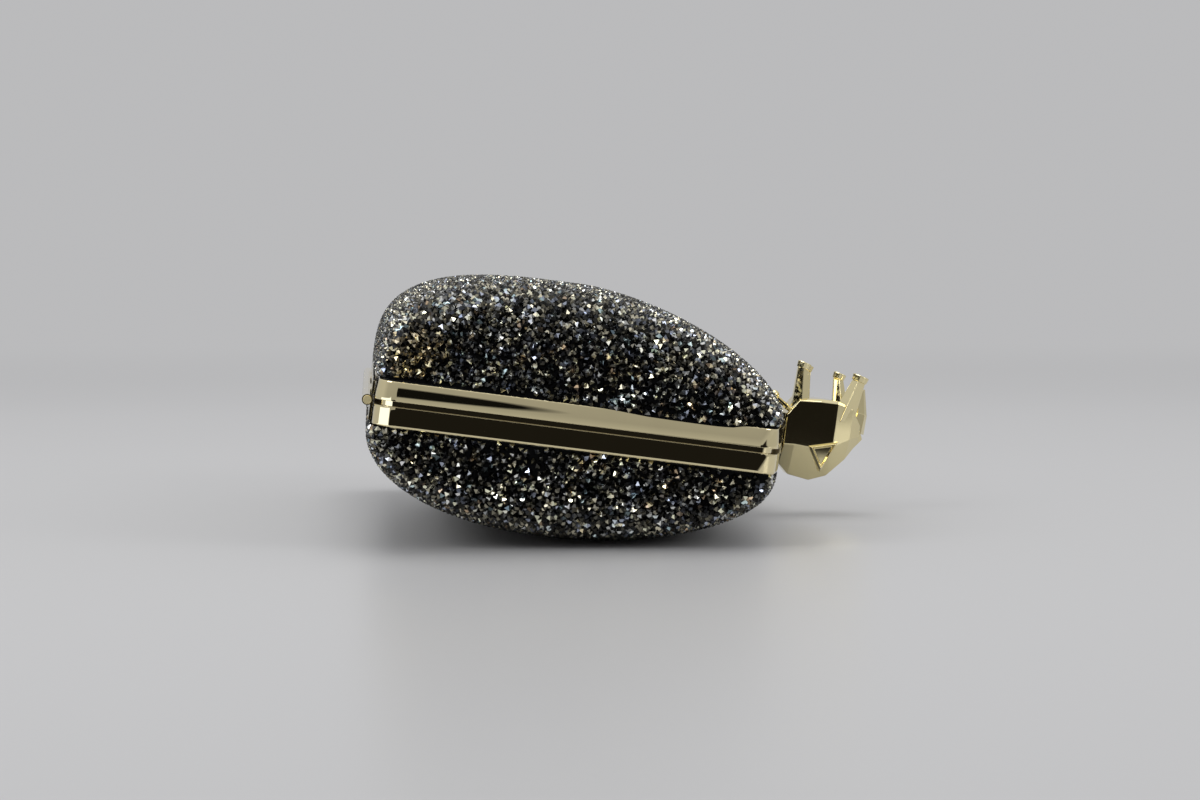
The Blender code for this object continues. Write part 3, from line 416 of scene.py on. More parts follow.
# corners (outward from the outer face, height above the parting, rounding)
front_foot, front_brow = (-0.00005, FRONT_RING_LOW), (-0.00055, FRAME_TOP)
front_profile = soften(
    [(*front_foot, 0.0001)] + leaning(front_foot, front_brow, 0.00006)
    + [(*front_brow, 0.0004), (-WALL, FRAME_TOP, 0.0), (-WALL, FRONT_FLANGE[1], 0.0),
       (-FLANGE, FRONT_FLANGE[1], 0.0), (-FLANGE, FRONT_FLANGE[0], 0.0), (-WALL, FRONT_FLANGE[0], 0.0),
       (-WALL, FRONT_RING_LOW, 0.0002)])
back_foot, back_brow = (-0.0001, -FRAME_TOP), (-0.0001, BACK_RING_HIGH)
back_profile = soften(
    [(*back_foot, 0.0006)] + leaning(back_foot, back_brow, 0.00003)
    + [(*back_brow, 0.00006), (-TONGUE[0], BACK_RING_HIGH, 0.0), (-TONGUE[0], TONGUE_HIGH, 0.0002),
       (-TONGUE[1], TONGUE_HIGH, 0.0002), (-TONGUE[1], BACK_RING_HIGH, 0.0), (-FLANGE, BACK_FLANGE[1], 0.0),
       (-FLANGE, BACK_FLANGE[0], 0.0), (-WALL, BACK_FLANGE[0], 0.0), (-WALL, -FRAME_TOP, 0.0)])
front_ring = ring("front_frame_ring", front_profile, "front_frame")
back_ring = ring("back_frame_ring", back_profile, "back_frame")
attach(front_ring, "front_half")
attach(back_ring, "back_half")


def plating_group():
    """Colour, roughness and fine surface of plated metal: faint haze and hairlines."""
    group = bpy.data.node_groups.new("plated_surface", "ShaderNodeTree")
    for name, way, kind in (("Plating", "INPUT", "Color"), ("Gloss", "INPUT", "Float"),
                            ("Hairlines", "INPUT", "Float"), ("Colour", "OUTPUT", "Color"),
                            ("Roughness", "OUTPUT", "Float"), ("Height", "OUTPUT", "Float")):
        group.interface.new_socket(name, in_out=way, socket_type="NodeSocket" + kind)
    n, l = group.nodes, group.links
    given = n.new("NodeGroupInput")
    told = n.new("NodeGroupOutput")
    where = n.new("ShaderNodeTexCoord").outputs["Object"]
    haze = noise(n, l, where, 90.0, 4.0)
    shade = spread(n, 0.0, 1.0, 0.93, 1.04)
    toned = maths(n, "SCALE", kind="VectorMath")
    stretch = dial(n.new("ShaderNodeMapping"), {"Scale": (30.0, 30.0, 4200.0)})
    hairlines = noise(n, l, stretch.outputs["Vector"], 1.0, 3.0)
    worn = maths(n, "MULTIPLY_ADD")
    hazed = maths(n, "MULTIPLY", 0.02)
    rough = maths(n, "ADD")
    join(l, (haze, shade.inputs["Value"]), (given.outputs["Plating"], toned.inputs["Vector"]),
         (shade.outputs["Result"], toned.inputs["Scale"]), (toned.outputs["Vector"], told.inputs["Colour"]),
         (where, stretch.inputs["Vector"]), (hairlines, worn.inputs[0]),
         (given.outputs["Hairlines"], worn.inputs[1]), (given.outputs["Gloss"], worn.inputs[2]),
         (haze, hazed.inputs[0]), (worn.outputs["Value"], rough.inputs[0]),
         (hazed.outputs["Value"], rough.inputs[1]), (rough.outputs["Value"], told.inputs["Roughness"]),
         (haze, told.inputs["Height"]))
    return group


plated = plating_group()


def plated_metal(name, colour, gloss, hairlines, ripple):
    """A plated metal: its colour, roughness, how far hairlines roughen it, and its ripple's height."""
    material, n, l = new_material(name)
    shader = dial(n["Principled BSDF"], {"Metallic": 1.0})
    surface = n.new("ShaderNodeGroup")
    surface.node_tree = plated
    dial(surface, {"Plating": (*colour, 1.0), "Gloss": gloss, "Hairlines": hairlines})
    bump = dial(n.new("ShaderNodeBump"), {"Strength": 1.0, "Distance": ripple})
    join(l, (surface.outputs["Colour"], shader.inputs["Base Color"]),
         (surface.outputs["Roughness"], shader.inputs["Roughness"]),
         (surface.outputs["Height"], bump.inputs["Height"]),
         (bump.outputs["Normal"], shader.inputs["Normal"]))
    return material


ring_gold = plated_metal("ring_gold", (0.87, 0.765, 0.47), 0.0, 0.015, 0.0000015)
# the parting faces: a rougher satin plating, and a colour far darker than the gold that is painted shade
# inside the gap
ring_satin_painted_shade = plated_metal("ring_satin_painted_shade", (0.30, 0.24, 0.13), 0.34, 0.05, 0.000004)
for piece in (front_ring, back_ring):
    piece.data.materials.append(ring_gold)
    piece.data.materials.append(ring_satin_painted_shade)

# ---- Hinge
# Two leaves of the same gold strip on the frames' long side, rolled into five knuckles round
# one pin, with a peened head at each end.
FITTING_GOLD = (0.85, 0.74, 0.43)
LEAF_EASE = 0.00008
PIN_HEAD_EASE = 0.00038
hinge_gold = plated_metal("hinge_gold", FITTING_GOLD, 0.04, 0.04, 0.00001)
pin_gold = plated_metal("pin_gold", FITTING_GOLD, 0.42, 0.04, 0.00001)


def eased_copy(node, material, width):
    """A copy of a metal piece with its edges eased, as tumbling and polishing leave them."""
    mesh = nodes[node].data.copy()
    mesh.transform(nodes[node].matrix_world)
    mesh.materials.clear()
    mesh.materials.append(material)
    piece = put_in(node + "_eased", mesh)
    pick(piece)
    bpy.ops.mesh.customdata_custom_splitnormals_clear()
    bpy.ops.object.mode_set(mode="EDIT")
    bpy.ops.mesh.select_all(action="SELECT")
    bpy.ops.mesh.remove_doubles(threshold=0.00001)
    bpy.ops.mesh.dissolve_limited(angle_limit=math.radians(0.4))
    bpy.ops.mesh.normals_make_consistent(inside=False)
    bpy.ops.object.mode_set(mode="OBJECT")
    if width > 0.0:
        bevel = piece.modifiers.new("eased", "BEVEL")
        bevel.width = width
        bevel.segments = 2
        bevel.limit_method = "ANGLE"
        bevel.angle_limit = math.radians(20.0)
        bpy.ops.object.modifier_apply(modifier=bevel.name)
    bpy.ops.object.shade_smooth_by_angle(angle=math.radians(40.0))
    crisp = piece.modifiers.new("crisp_normals", "WEIGHTED_NORMAL")
    crisp.keep_sharp = True
    bpy.ops.object.modifier_apply(modifier=crisp.name)
    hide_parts(node)
    return piece


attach(eased_copy("front_hinge_leaf", hinge_gold, LEAF_EASE), "front_half")
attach(eased_copy("back_hinge_leaf", hinge_gold, LEAF_EASE), "back_half")
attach(eased_copy("hinge_pin", pin_gold, PIN_HEAD_EASE), "back_half")

# ---- Crystal covers
# Fabric heat-set with small pointed stones, glued over each moulded dome from the frame's
# edge up. The stones are foiled glass in black, graphite, champagne and blue-grey.
COVER_BASE = FRAME_TOP + 0.0003 + 0.0004
# where the ridge runs, rise at the ends, extra rise at mid-length, fullness on the hinge side
# and on the clasp side, and how far the hinge side stands over the frame: everywhere, and more
# at mid-length
front_form = (0.003, 0.0254, 0.0042, 3.15, 1.65, 0.0, 0.0013)
back_form = (-0.003, 0.0236, 0.0012, 2.15, 1.95, 0.0013, 0.0)
END_WALL = 11.0
END_BEND = 3.0
SWEEP = 86.0
MIDDLE_ROWS = 12


def dome_point(turn, v, inset, form):
    """A place on a dome above its base: turn runs from hinge side (0) to clasp side (pi)."""
    ridge_x, end_rise, crown, hinge_side, clasp_side, overhang, swell = form
    radius = CORNER_RADIUS - inset
    corner_y = HALF_LENGTH - inset - radius
    corner_x = BOW_CENTRE + math.sqrt((BOW_RADIUS - inset - radius) ** 2 - corner_y ** 2)
    tangent_y = (BOW_RADIUS - inset) * math.sin(math.atan2(corner_y, corner_x - BOW_CENTRE))
    cosine = math.cos(turn)
    fullness = hinge_side if cosine > 0.0 else clasp_side
    out = abs(cosine) ** (2.0 / fullness)
    hinge_x = inset - HALF_WIDTH - overhang - swell * (1.0 - v ** 4)
    if cosine > 0.0:
        end_x = ridge_x + (hinge_x - ridge_x) * out
        x = end_x
    else:
        reach = BOW_RADIUS - inset
        end_x = ridge_x + (BOW_CENTRE + math.sqrt(reach ** 2 - tangent_y ** 2) - ridge_x) * out
        bow_x = BOW_CENTRE + math.sqrt(reach ** 2 - (v * tangent_y) ** 2)
        x = ridge_x + (bow_x - ridge_x) * out
    past = max(hinge_x + radius - end_x, end_x - corner_x, 0.0)
    y = v * (corner_y + math.sqrt(max(radius ** 2 - past ** 2, 0.0)))
    across = abs(math.sin(turn)) ** (2.0 / fullness)
    along = max(1.0 - abs(v) ** END_WALL, 0.0) ** (1.0 / END_BEND)
    return Vector((x, y, (end_rise + crown * (1.0 - v ** 2) - inset) * across * along))


def dome_skin(name, form, side, inset, base, across=72, along=46):
    """The open skin of one dome, as a grid of faces that look outward."""
    ends = [math.cos(math.radians(SWEEP) * k / along) ** (2.0 / END_WALL) for k in range(along + 1)]
    middle = [ends[-1] * k / MIDDLE_ROWS for k in range(MIDDLE_ROWS)]
    half = sorted(ends + middle)
    stations = [-v for v in reversed(half[1:])] + half
    shape = bmesh.new()
    rows = []
    for v in stations:
        row = []
        for k in range(across + 1):
            p = dome_point(math.pi * k / across, v, inset, form)
            row.append(shape.verts.new((p.x, p.y, side * (base + p.z))))
        rows.append(row)
    for low, high in zip(rows, rows[1:]):
        for i in range(across):
            shape.faces.new((low[i], low[i + 1], high[i + 1], high[i]))
    bmesh.ops.remove_doubles(shape, verts=shape.verts, dist=0.00002)
    bmesh.ops.recalc_face_normals(shape, faces=shape.faces)
    middle_face = max(shape.faces, key=lambda f: side * f.calc_center_median().z)
    if middle_face.normal.z * side < 0.0:
        bmesh.ops.reverse_faces(shape, faces=shape.faces)
    mesh = bpy.data.meshes.new(name)
    shape.to_mesh(mesh)
    shape.free()
    return mesh


STONE_PITCH = 0.00162
STONE_HEIGHT = 0.00085
STONE_LEAN = 0.10
STONE_SUNK = 0.00012
# stones this near the table lean less, because they bear on it
RESTING_HEIGHT = 0.0012
RESTING_LEAN = 0.3
# the share of a pitch squared that a stone takes, and how stones are pushed apart
STONE_AREA = 0.875
EVEN_PITCH = STONE_PITCH * 1.12
PUSH = 0.42
ROUNDS = 16
FRONT_EDGE_STRIP = 0.0009
BACK_EDGE_STRIP = 0.0003
LEAST_HEIGHT = 0.0001
# how far the front hem laps the ring and stands out, and up to what height above its edge
HEM_LAP = 0.0014
HEM_OUT = 0.0005
HEM_EASE = 0.0080
# at the near end the lap grows toward the clasp side and fades at the corner
LAP_GROWS, LAP_FADES = (-0.034, 0.034), (0.054, 0.034)
LAP_STARTS = (-0.076, -0.086)
# a patch near the hinge where the stones are tinted amber and a shade brighter
AMBER_PATCH = Vector((-0.042, -0.088, 0.0135))
AMBER_REACH = 0.0075
AMBER_HUE = (1.00, 0.84, 0.54)
AMBER_TONE = 0.45
FABRIC_INSET = 0.00085
FABRIC_THICKNESS = 0.0004
FABRIC_LEAST_HEIGHT = 0.0009


def ease(value, start, end):
    """0 at start and before it, 1 at end and past it."""
    share = min(max((value - start) / (end - start), 0.0), 1.0)
    return share * share * (3.0 - 2.0 * share)


def lapped(p):
    """A place of the level front cover, lowered and pushed out where the hem laps the ring."""
    lap = ease(p.x, *LAP_GROWS) * ease(p.x, *LAP_FADES) * ease(p.y, *LAP_STARTS)
    lap *= ease(p.z, COVER_BASE + HEM_EASE, COVER_BASE)
    return p - Vector((0.0, HEM_OUT, HEM_LAP)) * lap


def sow_stones(mesh, side, seed):
    """Places and normals for stones: scattered over a skin, then pushed apart until even."""
    rng = np.random.default_rng(seed)
    mesh.calc_loop_triangles()
    verts = np.array([v.co[:] for v in mesh.vertices])
    tris = np.array([t.vertices[:] for t in mesh.loop_triangles])
    a, b, c = verts[tris[:, 0]], verts[tris[:, 1]], verts[tris[:, 2]]
    area = np.linalg.norm(np.cross(b - a, c - a), axis=1) / 2.0
    count = int(area.sum() / (STONE_AREA * STONE_PITCH ** 2))
    chosen = rng.choice(len(area), size=count, p=area / area.sum())
    r1, r2 = np.sqrt(rng.random(count))[:, None], rng.random(count)[:, None]
    places = a[chosen] * (1 - r1) + b[chosen] * r1 * (1 - r2) + c[chosen] * r1 * r2
    surface = BVHTree.FromPolygons([v.co[:] for v in mesh.vertices],
                                   [t.vertices[:] for t in mesh.loop_triangles])
    points = [Vector(p) for p in places]
    least = COVER_BASE + (FRONT_EDGE_STRIP if side > 0 else BACK_EDGE_STRIP)
    for _ in range(ROUNDS):
        tree = kdtree.KDTree(count)
        for i, p in enumerate(points):
            tree.insert(p, i)
        tree.balance()
        moved = []
        for i, p in enumerate(points):
            push = Vector((0.0, 0.0, 0.0))
            for q, j, distance in tree.find_n(p, 7):
                if j != i and distance < EVEN_PITCH:
                    gap = max(distance, 1e-6)
                    push += (p - q) / gap * (EVEN_PITCH - distance) * PUSH
            q = p + push
            if side * q.z < least:
                q.z = side * least
            moved.append(surface.find_nearest(q)[0])
        points = moved
    normals = [surface.find_nearest(p)[1] for p in points]
    return points, normals, rng


def cut_template(sides, rings):
    """Corners, faces and each face's tier for a stone: tiers of (radius, depth) under its point."""
    verts = [(0.0, 0.0, 0.0)]
    faces, tiers = [], []
    for tier, (radius, depth) in enumerate(rings):
        start = len(verts)
        for s in range(sides):
            t = math.tau * s / sides
            verts.append((radius * math.cos(t), radius * math.sin(t), -depth))
        for s in range(sides):
            on = (s + 1) % sides
            if tier == 0:
                faces.append((0, start + s, start + on))
            else:
                faces.append((start - sides + s, start + s, start + on, start - sides + on))
            tiers.append(tier)
    faces.append(tuple(reversed(range(len(verts) - sides, len(verts)))))
    tiers.append(len(rings))
    return np.array(verts), faces, tiers


# share of stones and their cut
cuts = [
    (0.40, cut_template(4, [(0.42, 0.30), (1.00, 1.0)])),
    (0.45, cut_template(4, [(1.00, 1.0)])),
    (0.15, cut_template(5, [(0.94, 1.0)])),
]
# share of stones and the hue of their foil
foils = [
    (0.54, (1.00, 0.93, 0.70)),
    (0.22, (0.95, 0.96, 0.92)),
    (0.15, (0.84, 0.92, 1.12)),
    (0.05, (0.76, 1.00, 1.06)),
    (0.04, (1.08, 0.80, 0.52)),
]
# how dark the foils are, as powers of e, and how far stones and their facets differ
# painted light and shade: the front (upper) cover's stones are painted a shade brighter than the back (lower)
# cover's, as light falls from above
FRONT_FOIL_TONE = -2.60
BACK_FOIL_TONE = -2.78
STONE_SPREAD = 1.00
# painted highlight: the facets that face a random bearing on each stone are painted brighter
PAINTED_HIGHLIGHT_SIDE = 2.00
FACET_SPREAD = 0.40
# painted reflection: the stones' tip facets are painted dark, as the dark round the camera would show in them
PAINTED_DARK_TIP = 2.00
BRIGHTEST_FOIL = 0.92


def set_stones(name, form, side, seed):
    """Build the stones of one cover as one mesh, each facet with its own tint: the foil's hue, with painted
    highlights and painted shade.
    """
    skin = dome_skin(name + "_skin", form, side, 0.0, COVER_BASE)
    points, normals, rng = sow_stones(skin, side, seed)
    bpy.data.meshes.remove(skin)
    shares = np.array([share for share, hue in foils])
    shares = shares / shares.sum()
    cover_painted_light_tone = FRONT_FOIL_TONE if side > 0 else BACK_FOIL_TONE
    turned = REST.to_3x3()
    verts, faces, tints = [], [], []
    total = 0
    for level, normal in zip(points, normals):
        amber = (level - AMBER_PATCH).length < AMBER_REACH * (0.7 + 0.5 * rng.random())
        p = REST @ (lapped(level) if side > 0 else level)
        normal = (turned @ normal).normalized()
        if p.z < LEAST_HEIGHT:
            p.z = LEAST_HEIGHT
            normal = Vector((0.0, 0.0, -1.0))
        lean = Vector(rng.normal(0.0, STONE_LEAN, 3)) * (1.0 if p.z > RESTING_HEIGHT else RESTING_LEAN)
        up = (normal + lean).normalized()
        turn = up.to_track_quat("Z", "Y").to_matrix() @ Matrix.Rotation(rng.random() * math.tau, 3, "Z")
        pick_cut = rng.random()
        for share, template in cuts:
            if pick_cut < share:
                break
            pick_cut -= share
        shape, shape_faces, tiers = template
        radius = STONE_PITCH * (0.60 + 0.10 * rng.random())
        height = STONE_HEIGHT * (0.85 + 0.3 * rng.random())
        sunk = STONE_SUNK * rng.random()
        local = shape * np.array((radius, radius * (0.92 + 0.14 * rng.random()), height))
        world_places = local @ np.array(turn.transposed()) + np.array(p - normal * sunk)
        world_places[:, 2] = np.maximum(world_places[:, 2], LEAST_HEIGHT / 2.0)
        hue = np.array(AMBER_HUE if amber else foils[rng.choice(len(foils), p=shares)][1])
        tone = cover_painted_light_tone + rng.normal(0.0, STONE_SPREAD) + (AMBER_TONE if amber else 0.0)
        # the bearing on this stone whose facets get the painted highlight
        painted_highlight_bearing = rng.random() * math.tau
        verts.append(world_places)
        sides = tiers.count(0)
        for k, (face, tier) in enumerate(zip(shape_faces, tiers)):
            faces.append([i + total for i in face])
            facet = tone + PAINTED_HIGHLIGHT_SIDE * math.cos(math.tau * (k % sides + 0.5) / sides - painted_highlight_bearing)
            if tier == 0 and max(tiers) > 1:
                facet = tone - PAINTED_DARK_TIP
            facet += rng.normal(0.0, FACET_SPREAD)
            tints.append(np.minimum(hue * math.exp(min(facet, 0.0)), BRIGHTEST_FOIL))
        total += len(world_places)
    mesh = bpy.data.meshes.new(name)
    mesh.from_pydata(np.vstack(verts).tolist(), [], faces)
    mesh.update()
    colours = mesh.attributes.new("foil_and_painted_light", "FLOAT_COLOR", "FACE")
    flat = np.ones((len(faces), 4))
    flat[:, :3] = np.array(tints)
    colours.data.foreach_set("color", flat.ravel())
    return put_in(name, mesh)


def hemmed_wall(piece, hem, folds, thickness):
    """Draw a skin's open edge down by the hem, then give the skin its thickness inwards."""
    pick(piece)
    bpy.ops.object.mode_set(mode="EDIT")
    bpy.ops.mesh.select_all(action="DESELECT")
    bpy.ops.mesh.select_mode(type="EDGE")
    bpy.ops.mesh.select_non_manifold()
    for _ in range(folds):
        bpy.ops.mesh.extrude_region_move(TRANSFORM_OT_translate={"value": (0.0, 0.0, hem / folds)})
    bpy.ops.object.mode_set(mode="OBJECT")
    wall = piece.modifiers.new("wall", "SOLIDIFY")
    wall.thickness = thickness
    wall.offset = -1.0
    bpy.ops.object.modifier_apply(modifier=wall.name)


def ground_fabric(name, form, side):
    """The black fabric under the stones."""
    piece = put_in(name, dome_skin(name, form, side, FABRIC_INSET, COVER_BASE, across=48, along=20))
    hemmed_wall(piece, -side * FABRIC_THICKNESS, 1, FABRIC_THICKNESS)
    bpy.ops.object.shade_smooth_by_angle(angle=math.radians(40.0))
    if side > 0:
        for vertex in piece.data.vertices:
            vertex.co = lapped(vertex.co)
    set_down(piece)
    for vertex in piece.data.vertices:
        vertex.co.z = max(vertex.co.z, FABRIC_LEAST_HEIGHT)
    return piece


stone_finish, n, l = new_material("foiled_stones")
shader = dial(n["Principled BSDF"], {"Metallic": 1.0, "Coat Weight": 0.30, "Coat Roughness": 0.04})
# the facet tint carries the foil's hue together with the painted highlights and painted shade
tint = n.new("ShaderNodeAttribute")
tint.attribute_name = "foil_and_painted_light"
where = n.new("ShaderNodeTexCoord").outputs["Object"]
gloss = spread(n, 0.0, 1.0, 0.05, 0.15)
join(l, (tint.outputs["Color"], shader.inputs["Base Color"]),
     (noise(n, l, where, 900.0), gloss.inputs["Value"]),
     (gloss.outputs["Result"], shader.inputs["Roughness"]))

ground_finish, n, l = new_material("black_ground_fabric")
shader = dial(n["Principled BSDF"], {"Roughness": 0.9, "Specular IOR Level": 0.05})
where = n.new("ShaderNodeTexCoord").outputs["Object"]
weave = noise(n, l, where, 1800.0)
shade = colour_ramp(n, [(0.0, (0.0005, 0.0005, 0.0006, 1.0)), (1.0, (0.003, 0.003, 0.0035, 1.0))])
bump = dial(n.new("ShaderNodeBump"), {"Distance": 0.0001})
join(l, (weave, shade.inputs["Fac"]), (shade.outputs["Color"], shader.inputs["Base Color"]),
     (weave, bump.inputs["Height"]), (bump.outputs["Normal"], shader.inputs["Normal"]))

for half, form, side, seed in (("front", front_form, 1, 11), ("back", back_form, -1, 23)):
    fabric = ground_fabric(half + "_ground_fabric", form, side)
    fabric.data.materials.append(ground_finish)
    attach(fabric, half + "_half")
    stones = set_stones(half + "_stones", form, side, seed)
    stones.data.materials.append(stone_finish)
    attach(stones, half + "_half")
    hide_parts(half + "_crystal_cover")

# ---- Moulded domes
# Black moulded domes that stand on the frames' flanges, hidden by the covers and linings.
shell_finish, n, l = new_material("black_moulding")
shader = dial(n["Principled BSDF"], {"Roughness": 0.5})
where = n.new("ShaderNodeTexCoord").outputs["Object"]
shade = colour_ramp(n, [(0.0, (0.018, 0.018, 0.019, 1.0)), (1.0, (0.040, 0.040, 0.042, 1.0))])
join(l, (noise(n, l, where, 400.0), shade.inputs["Fac"]),
     (shade.outputs["Color"], shader.inputs["Base Color"]))


def finish(name, material):
    for slot in nodes[name].material_slots:
        slot.material = material


for name in ("front_shell", "back_shell"):
    finish(name, shell_finish)

# ---- Clasp
# A gold bracket with two ears, a lever on a steel pin with its spring, and a keeper, each
# riveted to its frame.
CLASP_EASE = 0.00010
RIVET_EASE = 0.00015
clasp_gold = plated_metal("clasp_gold", FITTING_GOLD, 0.03, 0.03, 0.00001)
clasp_steel = plated_metal("clasp_steel", (0.60, 0.60, 0.61), 0.22, 0.10, 0.00001)
for node, body, width in (("clasp_bracket", "front_half", CLASP_EASE),
                          ("clasp_lever", "clasp_lever", CLASP_EASE),
                          ("clasp_keeper", "back_half", CLASP_EASE),
                          ("bracket_rivet_near", "front_half", RIVET_EASE),
                          ("bracket_rivet_far", "front_half", RIVET_EASE),
                          ("keeper_rivet_near", "back_half", RIVET_EASE),
                          ("keeper_rivet_far", "back_half", RIVET_EASE)):
    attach(eased_copy(node, clasp_gold, width), body)
for name in ("clasp_pin", "figure_screw_near", "figure_screw_far"):
    finish(name, clasp_steel)
# the real spring winds up as the lever turns; this copy is left where it stands, attached to no body
spring = eased_copy("clasp_spring", clasp_steel, 0.0)
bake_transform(spring)

# ---- Clasp figure
# A stout elephant cast in metal with large flat facets, polished and gold plated, screwed to
# the lever from behind. It stands out from the clasp by its rump, legs up.
RUMP_X = 0.0667
BELLY_Z = 0.0123
TORSO_LENGTH = 0.0222
TORSO_DEPTH = 0.0236
TORSO_THICKNESS = 0.0152
HEAD_DEPTH = 0.0108
HEAD_THICKNESS = 0.0100
LEG_OUT = 0.0049
LEG_LENGTH = 0.0082
LEG_ROOT_RADIUS = 0.0026
LEG_FOOT_RADIUS = 0.0014
# how far the legs' roots are below the belly, how far below them the haunches end, and how thin
LEG_ROOT_DEPTH = 0.0055
HAUNCH_DEPTH = 0.0062
HAUNCH_END_RADIUS = 0.0008
# where a sole starts and ends from the foot
SOLE_START, SOLE_END = Vector((0.0, 0.0, -0.0004)), Vector((0.0005, 0.0, 0.0014))
SOLE_RADII = (0.0016, 0.0018)
SOLE_CORNERS = 10
# how far an ear reaches into the flank, then the rim, rim's inner edge and bottom of its dish:
# size, and how far each stands off the flank
EAR_DEPTH = 0.0040
EAR_RINGS = [(1.0, 0.0003), (0.80, 0.0013), (0.62, 0.0006)]
TRUNK_RADII = (0.0027, 0.00205, 0.0014)
TRUNK_LAP = 0.0010
TUFT = Vector((0.0635, 0.0, 0.0116))
TUFT_RADIUS = 0.0015
TAIL_RADII = (0.0009, 0.0006)
# how far the edges of each body are eased
TORSO_EASE, HEAD_EASE, EAR_EASE = 0.00022, 0.00020, 0.00018
LEG_EASE, SOLE_EASE = 0.00015, 0.00030
TRUNK_EASE, TAIL_EASE = 0.00015, 0.00010
# from rump to chest: place along the torso, the belly and the back across it, and thickness
torso_stations = [(0.00, 0.22, 0.84, 1.00), (0.14, 0.02, 0.96, 1.00), (0.42, 0.00, 1.00, 1.00),
                  (0.64, 0.00, 0.92, 1.00), (0.86, 0.06, 0.70, 0.80), (1.00, 0.26, 0.50, 0.44)]
# from nape to forehead: place along the head, depth and thickness
head_stations = [(0.00, 0.80, 0.80), (0.28, 1.00, 1.00), (0.66, 0.72, 0.84), (1.00, 0.42, 0.50)]
# each leg's root and foot along the torso, its side, length and girth, and how many facets it has
# and how they are turned
legs = [(0.18, 0.14, -1, 1.02, 1.20, 6, 0.5), (0.25, 0.26, 1, 0.94, 1.12, 6, 0.5),
        (0.74, 0.89, -1, 0.80, 1.40, 4, 0.83), (0.79, 0.70, 1, 0.78, 1.12, 6, 0.5)]
ear_corners = [(0.322, 0.576), (0.702, 0.485), (0.513, 0.875)]


def on_torso(along, over):
    """A place in the figure's middle plane: along from the rump, over from the belly."""
    return Vector((RUMP_X + TORSO_LENGTH * along, 0.0, BELLY_Z - TORSO_DEPTH * over))


def facets_between(sections, width):
    """A closed faceted body through sections of as many corners each, its edges eased by width."""
    shape = bmesh.new()
    rows = [[shape.verts.new(corner) for corner in section] for section in sections]
    for low, high in zip(rows, rows[1:]):
        for i, corner in enumerate(low):
            on = (i + 1) % len(low)
            shape.faces.new((corner, low[on], high[on], high[i]))
    for cap in (rows[0], rows[-1]):
        shape.faces.new(cap)
    bmesh.ops.recalc_face_normals(shape, faces=shape.faces)
    mesh = bpy.data.meshes.new("figure_body")
    shape.to_mesh(mesh)
    shape.free()
    body = put_in("figure_body", mesh)
    pick(body)
    eased = body.modifiers.new("eased", "BEVEL")
    eased.width = width
    eased.segments = 2
    eased.angle_limit = math.radians(12.0)
    eased.limit_method = "ANGLE"
    eased.harden_normals = True
    bpy.ops.object.modifier_apply(modifier=eased.name)
    return body


def flank_section(belly, back, half):
    """Eight corners from belly to back, the same on both sides."""
    near = []
    for out, over in ((0.84, 0.0), (1.0, 0.03), (1.0, 0.60), (0.42, 1.0)):
        level = belly.lerp(back, over)
        near.append(Vector((level.x, half * out, level.z)))
    return near + [Vector((p.x, -p.y, p.z)) for p in reversed(near)]


def level_ring(centre, radius, sides=6, turn=0.5):
    """A level ring of corners, turned by a share of a facet."""
    turns = [math.tau * (k + turn) / sides for k in range(sides)]
    return [centre + Vector((math.cos(t), math.sin(t), 0.0)) * radius for t in turns]


def bar(start, end, radii, sides=6):
    """Two sections across the line from start to end."""
    turn = (end - start).to_track_quat("Z", "Y")
    return [[centre + turn @ p for p in level_ring(Vector((0.0, 0.0, 0.0)), radius, sides)]
            for centre, radius in zip((start, end), radii)]


bodies = [facets_between(
    [flank_section(on_torso(along, belly), on_torso(along, back), TORSO_THICKNESS / 2.0 * thick)
     for along, belly, back, thick in torso_stations], TORSO_EASE)]
nape, forehead = on_torso(0.52, 0.62), on_torso(1.02, 0.35)
neck = (forehead - nape).normalized()
upright = Vector((-neck.z, 0.0, neck.x)) * HEAD_DEPTH / 2.0
bodies.append(facets_between(
    [flank_section(nape.lerp(forehead, along) + upright * depth, nape.lerp(forehead, along) - upright * depth,
                   HEAD_THICKNESS / 2.0 * thick) for along, depth, thick in head_stations], HEAD_EASE))
for root_along, foot_along, side, length, girth, facets, turn in legs:
    out = Vector((0.0, side * LEG_OUT, 0.0))
    root = on_torso(root_along, 0.0) + out * 0.82 - Vector((0.0, 0.0, LEG_ROOT_DEPTH))
    end = root - out * 0.5 - Vector((0.0, 0.0, HAUNCH_DEPTH))
    foot = on_torso(foot_along, 0.0) + out + Vector((0.0, 0.0, LEG_LENGTH * length))
    rings = [(end, HAUNCH_END_RADIUS), (root, LEG_ROOT_RADIUS * girth), (foot, LEG_FOOT_RADIUS * girth)]
    bodies.append(facets_between([level_ring(*ring, facets, turn) for ring in rings], LEG_EASE))
    sole = bar(foot + SOLE_START, foot + SOLE_END, [radius * girth for radius in SOLE_RADII], SOLE_CORNERS)
    bodies.append(facets_between(sole, SOLE_EASE))
middle = sum((on_torso(*corner) for corner in ear_corners), Vector()) / 3.0
flank = TORSO_THICKNESS / 2.0
for side in (-1, 1):
    rings = [[middle.lerp(on_torso(*corner), share) + Vector((0.0, side * (flank + out), 0.0))
              for corner in ear_corners] for share, out in [(1.0, -EAR_DEPTH)] + EAR_RINGS]
    bodies.append(facets_between(rings, EAR_EASE))
trunk = [on_torso(0.97, 0.36), on_torso(1.01, 0.12), on_torso(0.97, -0.17)]
bodies.append(facets_between(bar(trunk[0], trunk[1], TRUNK_RADII[:2]), TRUNK_EASE))
trunk_tip = bar(trunk[1] - Vector((0.0, 0.0, TRUNK_LAP)), trunk[2], TRUNK_RADII[1:])
bodies.append(facets_between(trunk_tip, TRUNK_EASE))
bodies.append(facets_between(bar(on_torso(0.14, 0.22), TUFT, TAIL_RADII), TAIL_EASE))
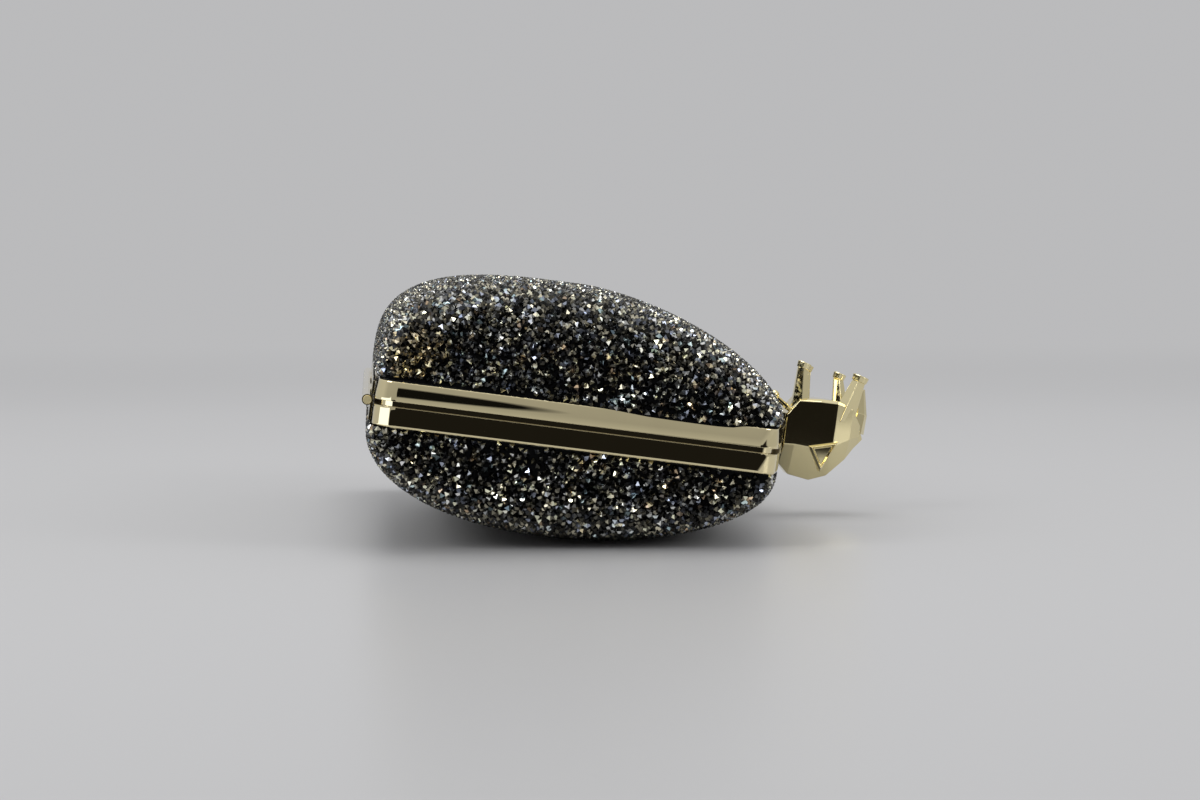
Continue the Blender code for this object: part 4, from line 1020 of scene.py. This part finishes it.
bpy.ops.mesh.primitive_uv_sphere_add(segments=24, ring_count=14, radius=TUFT_RADIUS, location=TUFT)
bpy.ops.object.transform_apply(location=True, rotation=False, scale=False)
bpy.ops.object.shade_smooth()
bodies.append(bpy.context.active_object)
bpy.ops.object.select_all(action="DESELECT")
for body in bodies:
    body.select_set(True)
figure = bodies[0]
bpy.context.view_layer.objects.active = figure
bpy.ops.object.join()
figure.name = "elephant_figure"
set_down(figure)
figure_gold = plated_metal("figure_gold", (0.86, 0.76, 0.45), 0.035, 0.0, 0.000006)
figure.data.materials.append(figure_gold)
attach(figure, "clasp_lever")
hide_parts("clasp_figure")

# ---- Linings
# A loose tray in each half: black satin drawn over card, with a corded edge that stands level
# with the frame's flange.
LINING_INSET = 0.0039
LINING_THICKNESS = 0.0007
CORD_RADIUS = 0.0006
FRONT_LINING_EDGE = 0.0024
BACK_LINING_EDGE = 0.0006


def lining_tray(name, form, side, edge):
    """A satin tray under the dome, from a corded edge at the given height."""
    piece = put_in(name, dome_skin(name, form, side, LINING_INSET, FRAME_TOP, along=30))
    hemmed_wall(piece, -side * (FRAME_TOP - edge - CORD_RADIUS), 2, LINING_THICKNESS)
    cord = flat_curve(name + "_cord", plan(LINING_INSET + CORD_RADIUS))
    cord.data.bevel_depth = CORD_RADIUS
    cord.data.bevel_resolution = 3
    pick(cord)
    bpy.ops.object.convert(target="MESH")
    cord = bpy.context.active_object
    bpy.ops.transform.translate(value=(0.0, 0.0, side * (edge + CORD_RADIUS)))
    bpy.ops.object.transform_apply(location=True, rotation=False, scale=False)
    piece.select_set(True)
    bpy.context.view_layer.objects.active = piece
    bpy.ops.object.join()
    bpy.ops.object.shade_smooth_by_angle(angle=math.radians(50.0))
    set_down(piece)
    return piece


lining_finish, n, l = new_material("lining_satin")
shader = dial(n["Principled BSDF"], {"Roughness": 0.42, "Sheen Weight": 0.35, "Sheen Roughness": 0.35})
where = n.new("ShaderNodeTexCoord").outputs["Object"]
twill = dial(n.new("ShaderNodeTexWave"), {"Scale": 900.0, "Distortion": 1.5})
twill.bands_direction = "DIAGONAL"
shade = colour_ramp(n, [(0.0, (0.012, 0.0115, 0.011, 1.0)), (1.0, (0.040, 0.038, 0.037, 1.0))])
drawn = dial(n.new("ShaderNodeMapping"), {"Scale": (170.0, 170.0, 22.0)})
soft = dial(n.new("ShaderNodeBump"), {"Strength": 0.6, "Distance": 0.0010})
fine = dial(n.new("ShaderNodeBump"), {"Strength": 0.5, "Distance": 0.00004})
join(l, (where, twill.inputs["Vector"]), (twill.outputs["Fac"], shade.inputs["Fac"]),
     (shade.outputs["Color"], shader.inputs["Base Color"]), (where, drawn.inputs["Vector"]),
     (noise(n, l, drawn.outputs["Vector"], 1.0, 1.0), soft.inputs["Height"]),
     (soft.outputs["Normal"], fine.inputs["Normal"]), (twill.outputs["Fac"], fine.inputs["Height"]),
     (fine.outputs["Normal"], shader.inputs["Normal"]))

for half, form, side, edge in (("front", front_form, 1, FRONT_LINING_EDGE),
                               ("back", back_form, -1, BACK_LINING_EDGE)):
    tray = lining_tray(half + "_satin_lining", form, side, edge)
    tray.data.materials.append(lining_finish)
    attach(tray, half + "_half")
    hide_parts(half + "_lining")
